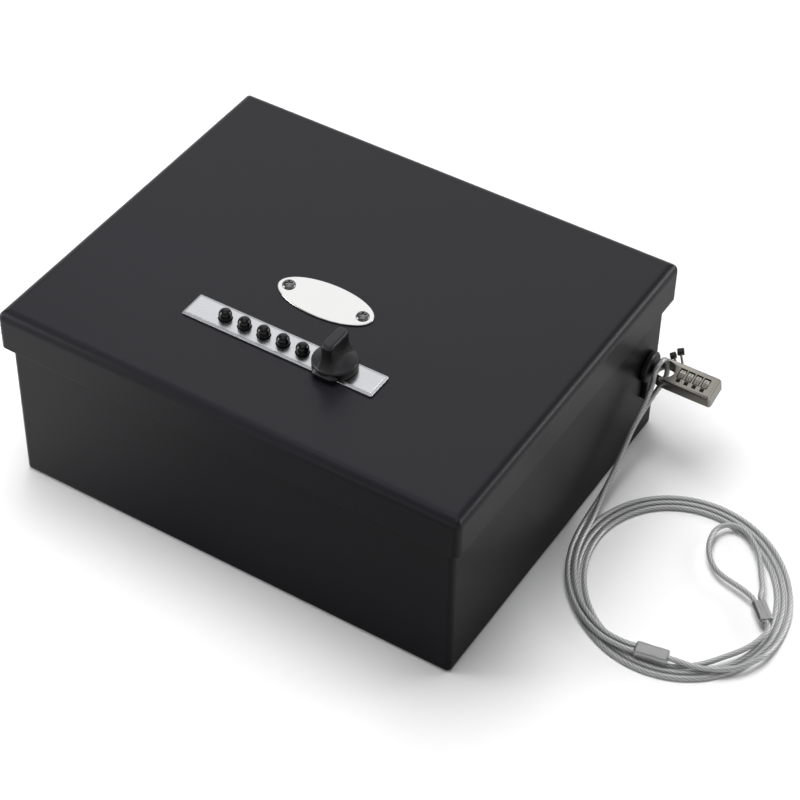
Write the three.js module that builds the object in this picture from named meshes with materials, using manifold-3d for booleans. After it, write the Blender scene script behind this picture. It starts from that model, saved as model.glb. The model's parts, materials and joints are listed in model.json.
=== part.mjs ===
// A portable car safe: a sheet-steel case with a hinged lid, a push-button lock with a turn knob in the lid,
// and a looped steel cable held at the case's right wall by a small four-dial lock.
// All lengths are millimetres. +Z is up, +X runs right along the front, +Y runs to the hinge at the back.
// The origin lies on the floor, under the middle of the case.
import * as THREE from "three";
import { mergeVertices } from "three/addons/utils/BufferGeometryUtils.js";
import Module from "manifold-3d";

const wasm = await Module();
wasm.setup();

// Driving sizes: case and lid
const lidWidth = 305;
const lidDepth = 250;
const totalHeight = 127;
const skirtDepth = 27;
const lidOverhang = 4.5;
const sheet = 1.5;
const lidBend = 6.4;
const lidCorner = 3.8;
const caseBend = 3;
const caseCorner = 3.4;
const rimGap = 2;
const lipWidth = 7;

// Clearances: pieces fixed together, pieces that slide or turn, and how far a cut runs past its piece
const seat = 0.1;
const play = 0.4;
const overrun = 5;

// Facets of round pieces
const roundSides = 24;
const domeSides = 16;
const smallSides = 12;
const bendSteps = 4;
const edgeSteps = 2;

// Liners
const floorPadThickness = 5;
const lidPadThickness = 5;
const padMargin = 3;
const padCorner = 6;
const lidPadFront = -12;
const lidPadBack = 88;

// Hinge
const hingePinRadius = 1.2;
const knuckleRadius = 2.3;
const leafThickness = 1.2;
const hingeLength = 260;
const knuckleCount = 13;
const knuckleGap = 0.6;
const caseLeafHeight = 18;
const lidLeafHeight = 14;
const hingeBelowSkirt = 3.5;

// Lock face plate, push buttons and knob
const plateLength = 126.6;
const plateDepth = 18.8;
const plateThickness = 1.6;
const plateBevel = 0.4;
const plateCorner = 1.2;
const plateX = 0;
const lockY = -60.6;
const buttonCount = 5;
const buttonPitch = 13;
const firstButtonX = -39.7;
const buttonRadius = 3.9;
const buttonHeight = 6.2;
const buttonSunk = 4;
const buttonTravel = 2.5;
const domeShares = [[1, 0.45], [0.95, 0.66], [0.8, 0.84], [0.5, 0.96], [0, 1]];
const stemRadius = 1.9;
const knobX = 33.8;
const knobRadius = 13.2;
const knobShoulderHeight = 9;
const knobOutlineShares = [[0, 0], [0.95, 0], [1, 0.12], [1, 0.49], [0.93, 0.61], [0.45, 1], [0, 1]];
const knobHeight = 21.5;
const gripWidth = 8;
const gripEdge = 1.1;
const gripLength = 25;
const gripTopLength = 20;
const gripFootShare = 0.2;
const gripWaistShare = 0.64;
const gripShoulderShare = 0.89;
const gripRoundShare = 0.9;
const gripFlatShare = 0.6;
const spindleRadius = 3;

// Lock case under the lid, with the latch
const lockCaseLength = 120;
const lockCaseDepth = 38;
const lockCaseHeight = 21.5;
const lockCaseWall = 1.2;
const screwPost = 7;
const screwRadius = 1.3;
const screwHeadRadius = 2.4;
const screwHeadHeight = 1.4;
const screwHeadShares = [[0, 0], [0.8, 0], [1, 0.4], [1, 1]];
const screwLength = 8;
const chamberHeight = 7;
const chamberDepth = 18;
const stemReach = 1.8;
const camRadius = 11;
const camThickness = 2.5;
const crankPinRadius = 1.8;
const clipRadius = 5;
const clipThickness = 1;
const boltWidth = 24;
const boltThickness = 3;
const boltTravel = 11;
const boltRetreat = 1.3;
const boltTail = 12;
const strikeWidth = 36;
const strikeDepth = 13;
const strikeDrop = 16;
const strikeThickness = 2;

// Name badge, left bare
const badgeLength = 63;
const badgeDepth = 28.4;
const badgeThickness = 1;
const badgeX = -1;
const badgeY = -17;
const badgeScrewSpacing = 50;
const badgeScrewRadius = 4;
const badgeScrewHeight = 1.1;
const badgeHeadShares = [[1, 0], [0.88, 0.7], [0.5, 1], [0, 1]];
const badgeShankRadius = 1.4;
const badgeShankReach = 1.1;

// Anchor on the right wall, and the dial lock that plugs into it
const anchorInset = 16;
const anchorZ = 58.8;
const lockTilt = THREE.MathUtils.degToRad(15);
const collarRadius = 10;
const collarLength = 4.3;
const collarBevel = 1;
const tabWidth = 7;
const tabDrop = 24;
const tabThickness = 3.2;
const tabCorner = 0.8;
const slotLength = 7.4;
const slotHeight = 3.4;
const backPlateSize = 18;
const backPlateThickness = 1.5;
const barRadius = 1.3;
const barHeadLength = 6.4;
const barHeadHeight = 2.6;
const barHeadThickness = 2;
const barReach = 1.4;
const lockWidth = 16.5;
const lockThickness = 10;
const lockBevel = 1.6;
const lockLength = 41.5;
const lockCornerRadius = 2;
const eyeRadius = 6;
const endCapThickness = 2;
const spigotDepth = 0.5;
const dialCount = 4;
const dialPitch = 5.2;
const dialRadius = 4.6;
const dialThickness = 3.7;
const dialLift = 1;
const dialBack = 1;
const dialFaces = 10;
const dialShaftRadius = 1.1;
const dialEndMargin = 1.6;
const windowWidth = 4.3;
const dialRoomHalfWidth = 5;
const dialRoomFloor = -4;
const dialRoomCeiling = 4.2;
const lockCapThickness = 3;
const lockStemRadius = 0.75;
const lockStemGap = 0.3;
const release = { at: [19.6, 8.25, 2.2], lean: 124, out: 8.3, cap: 4.2, depth: 1, travel: 1.2 };
const codeSet = { at: [15.6, 7.74, 2.2], lean: 135, out: 4.4, cap: 3.8, depth: 1.5, travel: 1.2 };

// Cable, sleeves and coil
const cableDiameter = 3.2;
const cableSides = 8;
const coilSides = 6;
const coilSteps = 24;
const largeEyeSteps = 58;
const smallEyeSteps = 22;
const sleeveGap = 0.3;
const coilX = 77.7;
const coilY = -98.6;
const coilRadius = 68.5;
const coilPitch = 3.85;
const coilOval = 3.8;
const coilOvalTurn = -58;
const coilStart = -60;
const coilEnd = 1075;
const coilRise = 4.1;
const coilInnerShare = 0.87;
const coilCrossing = [-1, 2.5];
const coilSettling = [2, 4];
const coilClimbing = [2.2, 4.2];
const coilLeaving = [0, 2.4];
const coilLeaveOut = 4;
const samplesPerPoint = 8;
const sleeveCornerShare = 0.49;
const largeSleeve = { x: 89.7, y: -155.7, z: 6.9, turn: 10.3, length: 18.8, width: 9.4, thickness: 5.9 };
const smallSleeve = { x: 128.1, y: -93.8, z: 6.2, turn: 133.4, length: 14.4, width: 9, thickness: 5.5 };

// The cable's places are counted from the point on the floor below the anchor.
// The looped end at the lock: out of the large sleeve, over the coil, up behind its own front leg, through the
// lock's eye from below, over it, and down the front leg and back to the sleeve.
const largeEyeRoute = [
  [80.5, -159.3, 6.9], [75.5, -160.2, 6.7], [59.2, -158.4, 5.6], [43.5, -151.5, 5.4],
  [29.9, -140.1, 5.4], [20, -126.3, 5.4], [13.2, -109.9, 5.4], [10.3, -96.5, 5.4],
  [9.1, -86.5, 5.5], [8.7, -76.5, 6.4], [8.9, -63.7, 10.4], [8.9, -50.9, 18.1],
  [8.6, -40.7, 25.9], [8.4, -31.1, 33.7], [8.6, -22.5, 38.6], [9, -14, 42],
  [9.7, -6.5, 45.6], [10.7, -0.1, 49], [11.5, 3.7, 53.2], [11.6, 3.9, 59.3],
  [11.6, 2.3, 65], [11.5, -1.1, 70], [11.3, -5.5, 71.8], [10.9, -9.8, 70.2],
  [10.6, -12, 66], [10.3, -12.4, 60.6], [10, -13.5, 55.2], [9.7, -16.9, 49.4],
  [9.5, -24.2, 43.2], [9.4, -32.8, 36.7], [9.6, -42.4, 28.9], [9.9, -52.6, 21.1],
  [10.4, -65.4, 13.4], [11.9, -77.1, 8.2], [13.2, -87.5, 6], [14.6, -98.5, 5.4],
  [17.4, -110.5, 5.4], [23.6, -124.7, 5.4], [32.8, -137.6, 5.4], [45.6, -148.2, 5.4],
  [60.4, -154.9, 5.6], [74.8, -156.4, 6.7], [79.8, -155.6, 6.9],
];
// The small looped end: out of the small sleeve and back into it.
const smallEyeRoute = [
  [121.4, -89.5, 6.2], [118.9, -87.5, 6.2], [112.4, -84.9, 6.1], [104.6, -82.9, 5.9], [98, -81.4, 5.8],
  [91.7, -78.9, 5.8], [86.4, -74.7, 5.8], [82.2, -69.2, 5.8], [79.1, -62.8, 5.8], [77.4, -55.4, 5.8],
  [77.8, -48.8, 5.8], [80.8, -43.9, 5.8], [85.2, -41.3, 5.8], [90.4, -41.5, 5.8], [96, -44.2, 5.8],
  [101.8, -48.9, 5.8], [107.4, -55.1, 5.8], [112, -62.5, 5.9], [116.2, -70.2, 6], [120.4, -77.9, 6.2],
  [122.4, -84.1, 6.2], [124.2, -86.9, 6.2],
];

// Sizes worked out from the driving ones
const caseWidth = lidWidth - 2 * lidOverhang;
const caseDepth = lidDepth - 2 * lidOverhang;
const wallX = caseWidth / 2;
const frontWallInside = -(caseDepth / 2 - sheet);
const lidUnderside = totalHeight - sheet;
const rimZ = lidUnderside - rimGap;
const skirtZ = totalHeight - skirtDepth;
const pinZ = skirtZ - hingeBelowSkirt;
const pinY = caseDepth / 2 + 2 * seat + knuckleRadius;
const caseLeafBack = caseDepth / 2 + seat + leafThickness - pinY;
const lidLeafBack = lidDepth / 2 - sheet - seat - pinY;
const plateTop = totalHeight + seat + plateThickness;
const barrelBottom = plateTop - buttonSunk;
const lockCaseTop = lidUnderside - seat;
const lockCaseBottom = lockCaseTop - lockCaseHeight;
const coverTop = lockCaseBottom + lockCaseWall;
const chamberBottom = coverTop + seat;
const chamberTop = chamberBottom + chamberHeight;
const strikeTop = rimZ - sheet - seat;
const boltTop = strikeTop - strikeThickness - play;
const boltBottom = boltTop - boltThickness;
const crankAt = boltTravel / 2;
const boltTip = frontWallInside + seat + strikeDepth + boltRetreat;
const camBottom = boltTop + play;
const camTop = camBottom + camThickness;
const anchorY = caseDepth / 2 - anchorInset;
const lockStart = collarLength + seat + seat;
const eyeU = lockStart + lockWidth / 2;
const lockEnd = lockStart + lockLength;
const spigotStart = lockEnd - endCapThickness - seat - spigotDepth;
const dialRoomStart = eyeU + eyeRadius + dialEndMargin;
const windowHalfLength = Math.sqrt(dialRadius ** 2 - (dialRoomCeiling - dialLift) ** 2) + play;
const firstDialU = dialRoomStart + dialEndMargin + dialThickness / 2 - (dialPitch - dialThickness) / 2;

// Materials
function paint(color, roughness, metalness) {
  return new THREE.MeshStandardMaterial({ color, roughness, metalness });
}

const blackPowderCoat = paint(0x2b2b2d, 0.55, 0.2);
const blackPlastic = paint(0x17171a, 0.4, 0);
const glossBlack = paint(0x0c0c0e, 0.15, 0);
const brushedSteel = paint(0xc9ccd0, 0.3, 0.9);
const polishedSteel = paint(0xe4e6e8, 0.15, 1);
const nickel = paint(0x9a9488, 0.35, 0.9);
const zincPlate = paint(0xa9abac, 0.4, 0.9);
const aluminium = paint(0x9b9fa2, 0.45, 0.9);
const foam = paint(0x1b1b1c, 0.95, 0);
const coatedCable = paint(0xa3a6a6, 0.35, 0.5);

// Turns a closed geometry into a solid that can be joined and cut.
function solidOf(geometry) {
  const bare = geometry.clone();
  bare.deleteAttribute("normal");
  bare.deleteAttribute("uv");
  const merged = mergeVertices(bare, 1e-4);
  const mesh = new wasm.Mesh({
    numProp: 3,
    vertProperties: merged.attributes.position.array,
    triVerts: new Uint32Array(merged.index.array),
  });
  return new wasm.Manifold(mesh);
}

// Turns a solid back into a geometry with flat faces.
function geometryOf(solid) {
  const mesh = solid.getMesh();
  const points = new Float32Array(mesh.numVert * 3);
  for (let i = 0; i < mesh.numVert; i++) {
    points.set(mesh.vertProperties.subarray(i * mesh.numProp, i * mesh.numProp + 3), i * 3);
  }
  const geometry = new THREE.BufferGeometry();
  geometry.setAttribute("position", new THREE.BufferAttribute(points, 3));
  geometry.setIndex(new THREE.BufferAttribute(new Uint32Array(mesh.triVerts), 1));
  const flat = geometry.toNonIndexed();
  flat.computeVertexNormals();
  return flat;
}

function join(...pieces) {
  return geometryOf(pieces.map(solidOf).reduce((whole, piece) => whole.add(piece)));
}

function cut(piece, ...tools) {
  return geometryOf(tools.map(solidOf).reduce((rest, tool) => rest.subtract(tool), solidOf(piece)));
}

function overlapOf(first, second) {
  return geometryOf(solidOf(first).intersect(solidOf(second)));
}

function block(low, high) {
  const size = high.map((value, axis) => value - low[axis]);
  const middle = high.map((value, axis) => (value + low[axis]) / 2);
  return new THREE.BoxGeometry(...size).translate(...middle);
}

// A round bar along an axis, from one place to another on it, through the point given by the other two.
function bar(axis, radius, from, to, first = 0, second = 0, sides = smallSides) {
  const geometry = new THREE.CylinderGeometry(radius, radius, to - from, sides);
  const middle = (from + to) / 2;
  if (axis === "x") return geometry.rotateZ(-Math.PI / 2).translate(middle, first, second);
  return geometry.rotateX(Math.PI / 2).translate(first, second, middle);
}

// A turned piece: its outline runs from the axis at the bottom to the axis at the top, as radius and height.
function lathed(profile, sides) {
  const points = profile.map(([radius, height]) => new THREE.Vector2(radius, height));
  return new THREE.LatheGeometry(points, sides).rotateX(Math.PI / 2);
}

// The points of a table of shares, for a piece of this radius and height that starts at this level.
function scaled(shares, radius, height, level = 0) {
  return shares.map(([across, up]) => [across * radius, level + up * height]);
}

function roundedRectangle(width, depth, radius) {
  const x = width / 2 - radius;
  const y = depth / 2 - radius;
  const shape = new THREE.Shape();
  shape.absarc(x, y, radius, 0, Math.PI / 2);
  shape.absarc(-x, y, radius, Math.PI / 2, Math.PI);
  shape.absarc(-x, -y, radius, Math.PI, 1.5 * Math.PI);
  shape.absarc(x, -y, radius, 1.5 * Math.PI, 2 * Math.PI);
  return shape;
}

function prism(shape, from, to, steps = bendSteps) {
  const options = { depth: to - from, bevelEnabled: false, curveSegments: steps };
  return new THREE.ExtrudeGeometry(shape, options).translate(0, 0, from);
}

// A flat bar of an outline whose top and bottom edges are bevelled.
function bevelledPrism(shape, from, to, bevel, bevelSegments = 1, curveSegments = bendSteps) {
  const geometry = new THREE.ExtrudeGeometry(shape, {
    depth: to - from - 2 * bevel,
    bevelThickness: bevel,
    bevelSize: bevel,
    bevelOffset: -bevel,
    bevelSegments,
    curveSegments,
  });
  return geometry.translate(0, 0, from + bevel);
}

// A block whose top edges are bent over a radius, as folded sheet is. Two bars with that profile cross, so that
// their bends meet in a mitre at each corner, and the upright corners are rounded.
function crownedBlock(width, depth, bottom, top, bend, corner) {
  const [across, along] = [width, depth].map((size) => {
    const half = size / 2;
    const profile = new THREE.Shape();
    profile.moveTo(-half, bottom);
    profile.lineTo(half, bottom);
    profile.absarc(half - bend, top - bend, bend, 0, Math.PI / 2);
    profile.absarc(bend - half, top - bend, bend, Math.PI / 2, Math.PI);
    return prism(profile, -width, width).rotateX(Math.PI / 2);
  });
  const upright = prism(roundedRectangle(width, depth, corner), bottom - overrun, top + overrun);
  return overlapOf(overlapOf(across, along.rotateZ(Math.PI / 2)), upright);
}

// The same block turned over, so that its bottom edges are bent.
function basinBlock(width, depth, bottom, top, bend, corner) {
  return crownedBlock(width, depth, -top, -bottom, bend, corner).rotateX(Math.PI);
}

const root = new THREE.Group();
const lid = new THREE.Group();
const dialLock = new THREE.Group();
const cable = new THREE.Group();
dialLock.position.set(wallX, anchorY, anchorZ);
dialLock.rotation.x = lockTilt;
cable.position.set(wallX, anchorY, 0);
root.add(lid, dialLock, cable);

function place(group, name, geometry, material, position = [0, 0, 0]) {
  const mesh = new THREE.Mesh(geometry, material);
  mesh.name = name;
  mesh.position.set(...position);
  group.add(mesh);
  return mesh;
}

// Case: a folded basin with an inward lip round its mouth, and a slot for the dial lock.
function caseShell() {
  const outside = basinBlock(caseWidth, caseDepth, 0, rimZ, caseBend, caseCorner);
  const innerWidth = caseWidth - 2 * sheet;
  const innerDepth = caseDepth - 2 * sheet;
  const inside = basinBlock(innerWidth, innerDepth, sheet, rimZ - sheet, caseBend - sheet, caseCorner - sheet);
  const mouthShape = roundedRectangle(innerWidth - 2 * lipWidth, innerDepth - 2 * lipWidth, caseCorner);
  const mouth = prism(mouthShape, rimZ - 2 * sheet, rimZ + overrun);
  const slot = new THREE.BoxGeometry(2 * overrun, slotLength, slotHeight);
  return cut(outside, inside, mouth, slot.rotateX(lockTilt).translate(wallX, anchorY, anchorZ));
}

function floorPad() {
  const margin = 2 * (sheet + padMargin);
  const shape = roundedRectangle(caseWidth - margin, caseDepth - margin, padCorner);
  return prism(shape, sheet + seat, sheet + seat + floorPadThickness);
}

// An angle bracket under the front lip: the latch bolt reaches under its shelf.
function strikeBracket() {
  const wall = frontWallInside + seat;
  const low = knobX - strikeWidth / 2;
  const high = knobX + strikeWidth / 2;
  const shelf = block([low, wall, strikeTop - strikeThickness], [high, wall + strikeDepth, strikeTop]);
  const leg = block([low, wall, strikeTop - strikeDrop], [high, wall + strikeThickness, strikeTop]);
  return join(shelf, leg);
}

// One leaf of the hinge: a plate with every second knuckle, bored for the pin. The side is 1 for the lid's
// leaf, which rises against the inside of the skirt, and -1 for the case's leaf, which hangs on the back wall.
// The plate's back face lies this far behind the pin's middle.
function hingeLeaf(side, back, height, firstKnuckle) {
  const pitch = hingeLength / knuckleCount;
  const start = -hingeLength / 2;
  const front = back - leafThickness;
  const near = side * (knuckleRadius + play);
  const [plateLow, plateHigh] = [near, side * height].sort((a, b) => a - b);
  const [tabLow, tabHigh] = [0, near + side * leafThickness].sort((a, b) => a - b);
  const pieces = [block([start, front, plateLow], [start + hingeLength, back, plateHigh])];
  for (let i = firstKnuckle; i < knuckleCount; i += 2) {
    const low = start + i * pitch + knuckleGap / 2;
    const high = start + (i + 1) * pitch - knuckleGap / 2;
    pieces.push(bar("x", knuckleRadius, low, high), block([low, front, tabLow], [high, back, tabHigh]));
  }
  const end = start + hingeLength;
  return cut(join(...pieces), bar("x", hingePinRadius + play / 2, start - overrun, end + overrun));
}

const hingePin = bar("x", hingePinRadius, -hingeLength / 2, hingeLength / 2);
place(root, "case_shell", caseShell(), blackPowderCoat);
place(root, "case_floor_pad", floorPad(), foam);
place(root, "strike_bracket", strikeBracket(), zincPlate);
place(root, "hinge_case_leaf", hingeLeaf(-1, caseLeafBack, caseLeafHeight, 0), zincPlate, [0, pinY, pinZ]);
place(root, "hinge_pin", hingePin, zincPlate, [0, pinY, pinZ]);

// Lid
const buttonXs = Array.from({ length: buttonCount }, (_, i) => firstButtonX + i * buttonPitch);
const badgeScrewXs = [badgeX - badgeScrewSpacing / 2, badgeX + badgeScrewSpacing / 2];

// Holes for the push buttons' barrels and the knob's spindle, which pass through plate, lid and lock case.
function barrelHoles(from, to) {
  const holes = buttonXs.map((x) => bar("z", buttonRadius + play, from, to, x, lockY, domeSides));
  return [...holes, bar("z", spindleRadius + play, from, to, knobX, lockY, roundSides)];
}

function shankHoles(from, to) {
  return badgeScrewXs.map((x) => bar("z", badgeShankRadius + play / 2, from, to, x, badgeY));
}

function lidShell() {
  const outside = crownedBlock(lidWidth, lidDepth, skirtZ, totalHeight, lidBend, lidCorner);
  const innerWidth = lidWidth - 2 * sheet;
  const innerDepth = lidDepth - 2 * sheet;
  const bend = lidBend - sheet;
  const corner = lidCorner - sheet;
  const inside = crownedBlock(innerWidth, innerDepth, skirtZ - overrun, lidUnderside, bend, corner);
  const from = lidUnderside - overrun;
  const to = totalHeight + overrun;
  return cut(outside, inside, ...barrelHoles(from, to), ...shankHoles(from, to));
}

function lidPad() {
  const width = caseWidth - 2 * (sheet + lipWidth + padMargin);
  const shape = roundedRectangle(width, lidPadBack - lidPadFront, padCorner);
  const top = lidUnderside - seat;
  return prism(shape, top - lidPadThickness, top).translate(0, (lidPadBack + lidPadFront) / 2, 0);
}

function facePlate() {
  const shape = roundedRectangle(plateLength, plateDepth, plateCorner);
  const plate = bevelledPrism(shape, plateTop - plateThickness, plateTop, plateBevel);
  return cut(plate.translate(plateX, lockY, 0), ...barrelHoles(totalHeight - overrun, plateTop + overrun));
}

place(lid, "lid_shell", lidShell(), blackPowderCoat);
place(lid, "lid_pad", lidPad(), foam);
place(lid, "hinge_lid_leaf", hingeLeaf(1, lidLeafBack, lidLeafHeight, 1), zincPlate, [0, pinY, pinZ]);
place(lid, "lock_face_plate", facePlate(), brushedSteel);

// Badge: an oval plate held by two round-headed screws.
function badgePlate() {
  const oval = new THREE.Shape();
  oval.absellipse(badgeX, badgeY, badgeLength / 2, badgeDepth / 2, 0, 2 * Math.PI);
  const bottom = totalHeight + seat;
  const holes = shankHoles(bottom - overrun, bottom + overrun);
  return cut(prism(oval, bottom, bottom + badgeThickness, roundSides), ...holes);
}

function badgeScrew() {
  const end = -(seat + sheet + badgeShankReach);
  const head = badgeThickness + seat;
  const shank = [[0, end], [badgeShankRadius, end], [badgeShankRadius, head]];
  return lathed([...shank, ...scaled(badgeHeadShares, badgeScrewRadius, badgeScrewHeight, head)], domeSides);
}

place(lid, "badge_plate", badgePlate(), polishedSteel);
["left", "right"].forEach((side, i) => {
  const at = [badgeScrewXs[i], badgeY, totalHeight + seat];
  place(lid, `badge_screw_${side}`, badgeScrew(), polishedSteel, at);
});

// Push buttons: a domed barrel that sinks through the plate, on a stem that reaches into the code chamber.
function pushButton() {
  const end = chamberTop - stemReach;
  const stem = [[0, end], [stemRadius, end], [stemRadius, barrelBottom], [buttonRadius, barrelBottom]];
  return lathed([...stem, ...scaled(domeShares, buttonRadius, buttonHeight, plateTop)], domeSides);
}

buttonXs.forEach((x, i) => place(lid, `push_button_${i + 1}`, pushButton(), glossBlack, [x, lockY, 0]));

// Knob: a round base with a sloping shoulder and a straight grip across it.
function knobSolid() {
  const base = lathed(scaled(knobOutlineShares, knobRadius, knobShoulderHeight), roundSides);
  const foot = gripLength / 2;
  const top = gripTopLength / 2;
  const shoulderHeight = knobHeight * gripShoulderShare;
  const side = new THREE.Shape();
  side.moveTo(-foot, knobHeight * gripFootShare);
  side.lineTo(foot, knobHeight * gripFootShare);
  side.quadraticCurveTo(foot, knobHeight * gripWaistShare, top, shoulderHeight);
  side.quadraticCurveTo(top * gripRoundShare, knobHeight, top * gripFlatShare, knobHeight);
  side.lineTo(-top * gripFlatShare, knobHeight);
  side.quadraticCurveTo(-top * gripRoundShare, knobHeight, -top, shoulderHeight);
  side.quadraticCurveTo(-foot, knobHeight * gripWaistShare, -foot, knobHeight * gripFootShare);
  const grip = bevelledPrism(side, -gripWidth / 2, gripWidth / 2, gripEdge, edgeSteps);
  return join(base, grip.rotateX(Math.PI / 2).rotateZ(Math.PI / 2));
}

// Lock case: an upturned box under the lid. Its screw posts carry the cover.
const postX = lockCaseLength / 2 - lockCaseWall - screwPost / 2;
const postY = lockCaseDepth / 2 - lockCaseWall - screwPost / 2;
const postPlaces = [[-postX, -postY], [postX, -postY], [-postX, postY], [postX, postY]]
  .map(([x, y]) => [plateX + x, lockY + y]);
const lockCaseLow = [plateX - lockCaseLength / 2, lockY - lockCaseDepth / 2];
const lockCaseHigh = [plateX + lockCaseLength / 2, lockY + lockCaseDepth / 2];

function screwHoles(from, to) {
  return postPlaces.map(([x, y]) => bar("z", screwRadius + play / 2, from, to, x, y));
}

function lockCase() {
  const bottom = coverTop + seat;
  const ceiling = lockCaseTop - lockCaseWall;
  const outside = block([...lockCaseLow, bottom], [...lockCaseHigh, lockCaseTop]);
  const roomLow = lockCaseLow.map((value) => value + lockCaseWall);
  const roomHigh = lockCaseHigh.map((value) => value - lockCaseWall);
  const shell = cut(outside, block([...roomLow, bottom - overrun], [...roomHigh, ceiling]));
  const half = screwPost / 2 + seat;
  const posts = postPlaces.map(([x, y]) =>
    block([x - half, y - half, bottom], [x + half, y + half, lockCaseTop]));
  const slotHalf = boltWidth / 2 + play;
  const slotLow = [knobX - slotHalf, lockCaseLow[1] - overrun, boltBottom - play];
  const slotHigh = [knobX + slotHalf, roomLow[1] + play, boltTop + play];
  const threads = screwHoles(bottom - overrun, bottom + screwLength);
  const barrels = barrelHoles(ceiling - play, lockCaseTop + overrun);
  return cut(join(shell, ...posts), block(slotLow, slotHigh), ...threads, ...barrels);
}

function lockCaseCover() {
  const plate = block([...lockCaseLow, lockCaseBottom], [...lockCaseHigh, coverTop]);
  return cut(plate, ...screwHoles(lockCaseBottom - overrun, coverTop + overrun));
}

function caseScrew() {
  const head = scaled(screwHeadShares, screwHeadRadius, screwHeadHeight, -screwHeadHeight);
  return lathed([...head, [screwRadius, 0], [screwRadius, screwLength], [0, screwLength]], smallSides);
}

// The code chamber guides the stems from below.
function codeChamber() {
  const low = firstButtonX - buttonPitch / 2;
  const high = low + buttonCount * buttonPitch;
  const half = chamberDepth / 2;
  const chamber = block([low, lockY - half, chamberBottom], [high, lockY + half, chamberTop]);
  const holeBottom = chamberTop - stemReach - buttonTravel - play;
  const holes = buttonXs.map((x) => bar("z", stemRadius + play, holeBottom, chamberTop + overrun, x, lockY));
  return cut(chamber, ...holes);
}

place(lid, "lock_case", lockCase(), zincPlate);
place(lid, "lock_case_cover", lockCaseCover(), zincPlate);
place(lid, "code_chamber", codeChamber(), zincPlate);
postPlaces.forEach(([x, y], i) => {
  place(lid, `lock_case_screw_${i + 1}`, caseScrew(), zincPlate, [x, y, lockCaseBottom - seat]);
});

// Knob, spindle, clip and cam turn together. The cam's crank pin drives the latch bolt through its slot.
const spindleBore = bar("z", spindleRadius + seat, -overrun, overrun, 0, 0, roundSides);

function latchCam() {
  const disc = bar("z", camRadius, 0, camThickness, 0, 0, roundSides);
  const crankPin = bar("z", crankPinRadius, -play - boltThickness, camThickness, crankAt, crankAt);
  return cut(join(disc, crankPin), spindleBore);
}

function spindleClip() {
  return cut(bar("z", clipRadius, 0, clipThickness, 0, 0, roundSides), spindleBore);
}

function latchBolt() {
  const plate = block([-boltWidth / 2, boltTip, 0], [boltWidth / 2, lockY + boltTail, boltThickness]);
  const gap = crankPinRadius + play;
  const slotY = lockY + crankAt;
  return cut(plate, block([crankAt - gap, slotY - gap, -overrun], [crankAt * Math.SQRT2 + gap, slotY + gap, overrun]));
}

const spindle = bar("z", spindleRadius, camBottom, plateTop + play - seat, 0, 0, roundSides);
place(lid, "knob", knobSolid(), blackPlastic, [knobX, lockY, plateTop + play]);
place(lid, "knob_spindle", spindle, zincPlate, [knobX, lockY, 0]);
place(lid, "latch_cam", latchCam(), zincPlate, [knobX, lockY, camBottom]);
place(lid, "spindle_clip", spindleClip(), zincPlate, [knobX, lockY, camTop + seat]);
place(lid, "latch_bolt", latchBolt(), zincPlate, [knobX, 0, boltBottom]);

// Anchor: a collar with a hanging tab outside the wall, and a backing plate inside it.
function anchorCollar() {
  const disc = new THREE.Shape();
  disc.absarc(0, 0, collarRadius, 0, 2 * Math.PI);
  const boss = bevelledPrism(disc, 0, collarLength, collarBevel, 1, domeSides).rotateY(Math.PI / 2);
  const tabShape = roundedRectangle(tabThickness, tabWidth, tabCorner);
  const tab = prism(tabShape, -tabDrop, 0, edgeSteps).translate(tabThickness / 2, 0, 0);
  return cut(join(boss, tab), bar("x", barRadius + play, -overrun, collarLength + overrun));
}

function backPlate() {
  const plate = new THREE.BoxGeometry(backPlateThickness, backPlateSize, backPlateSize);
  return cut(plate, new THREE.BoxGeometry(2 * overrun, slotLength, slotHeight).rotateX(lockTilt));
}

const backPlateX = wallX - sheet - seat - backPlateThickness / 2;
place(root, "anchor_collar", anchorCollar(), blackPlastic, [wallX + seat, anchorY, anchorZ]);
place(root, "anchor_back_plate", backPlate(), zincPlate, [backPlateX, anchorY, anchorZ]);

// Dial lock, in its own frame: x out from the wall, y across the body, z out of its dial face.
function lockBlank() {
  const half = lockWidth / 2;
  const cornerU = lockEnd - lockCornerRadius;
  const cornerV = half - lockCornerRadius;
  const outline = new THREE.Shape();
  outline.absarc(eyeU, 0, half, Math.PI / 2, 1.5 * Math.PI);
  outline.absarc(cornerU, -cornerV, lockCornerRadius, -Math.PI / 2, 0);
  outline.absarc(cornerU, cornerV, lockCornerRadius, 0, Math.PI / 2);
  return bevelledPrism(outline, -lockThickness / 2, lockThickness / 2, lockBevel, edgeSteps, 2 * bendSteps);
}

// A round bar along a button's lean, and a square cap at its end.
function leaningBar(radius, button, from, to) {
  const stem = new THREE.CylinderGeometry(radius, radius, to - from, smallSides);
  stem.rotateZ(-Math.PI / 2).translate((from + to) / 2, 0, 0);
  return stem.rotateZ(THREE.MathUtils.degToRad(button.lean)).translate(...button.at);
}

function leaningCap(button) {
  const cap = new THREE.BoxGeometry(lockCapThickness, button.cap, button.cap);
  cap.translate(button.out + lockCapThickness / 2, 0, 0);
  return cap.rotateZ(THREE.MathUtils.degToRad(button.lean)).translate(...button.at);
}

function leaningBore(button) {
  return leaningBar(lockStemRadius + play / 2, button, -button.depth - button.travel - play, overrun);
}

const dialUs = Array.from({ length: dialCount }, (_, i) => firstDialU + i * dialPitch);
const roomFront = dialBack - dialRoomHalfWidth;
const roomBack = dialBack + dialRoomHalfWidth;

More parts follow.
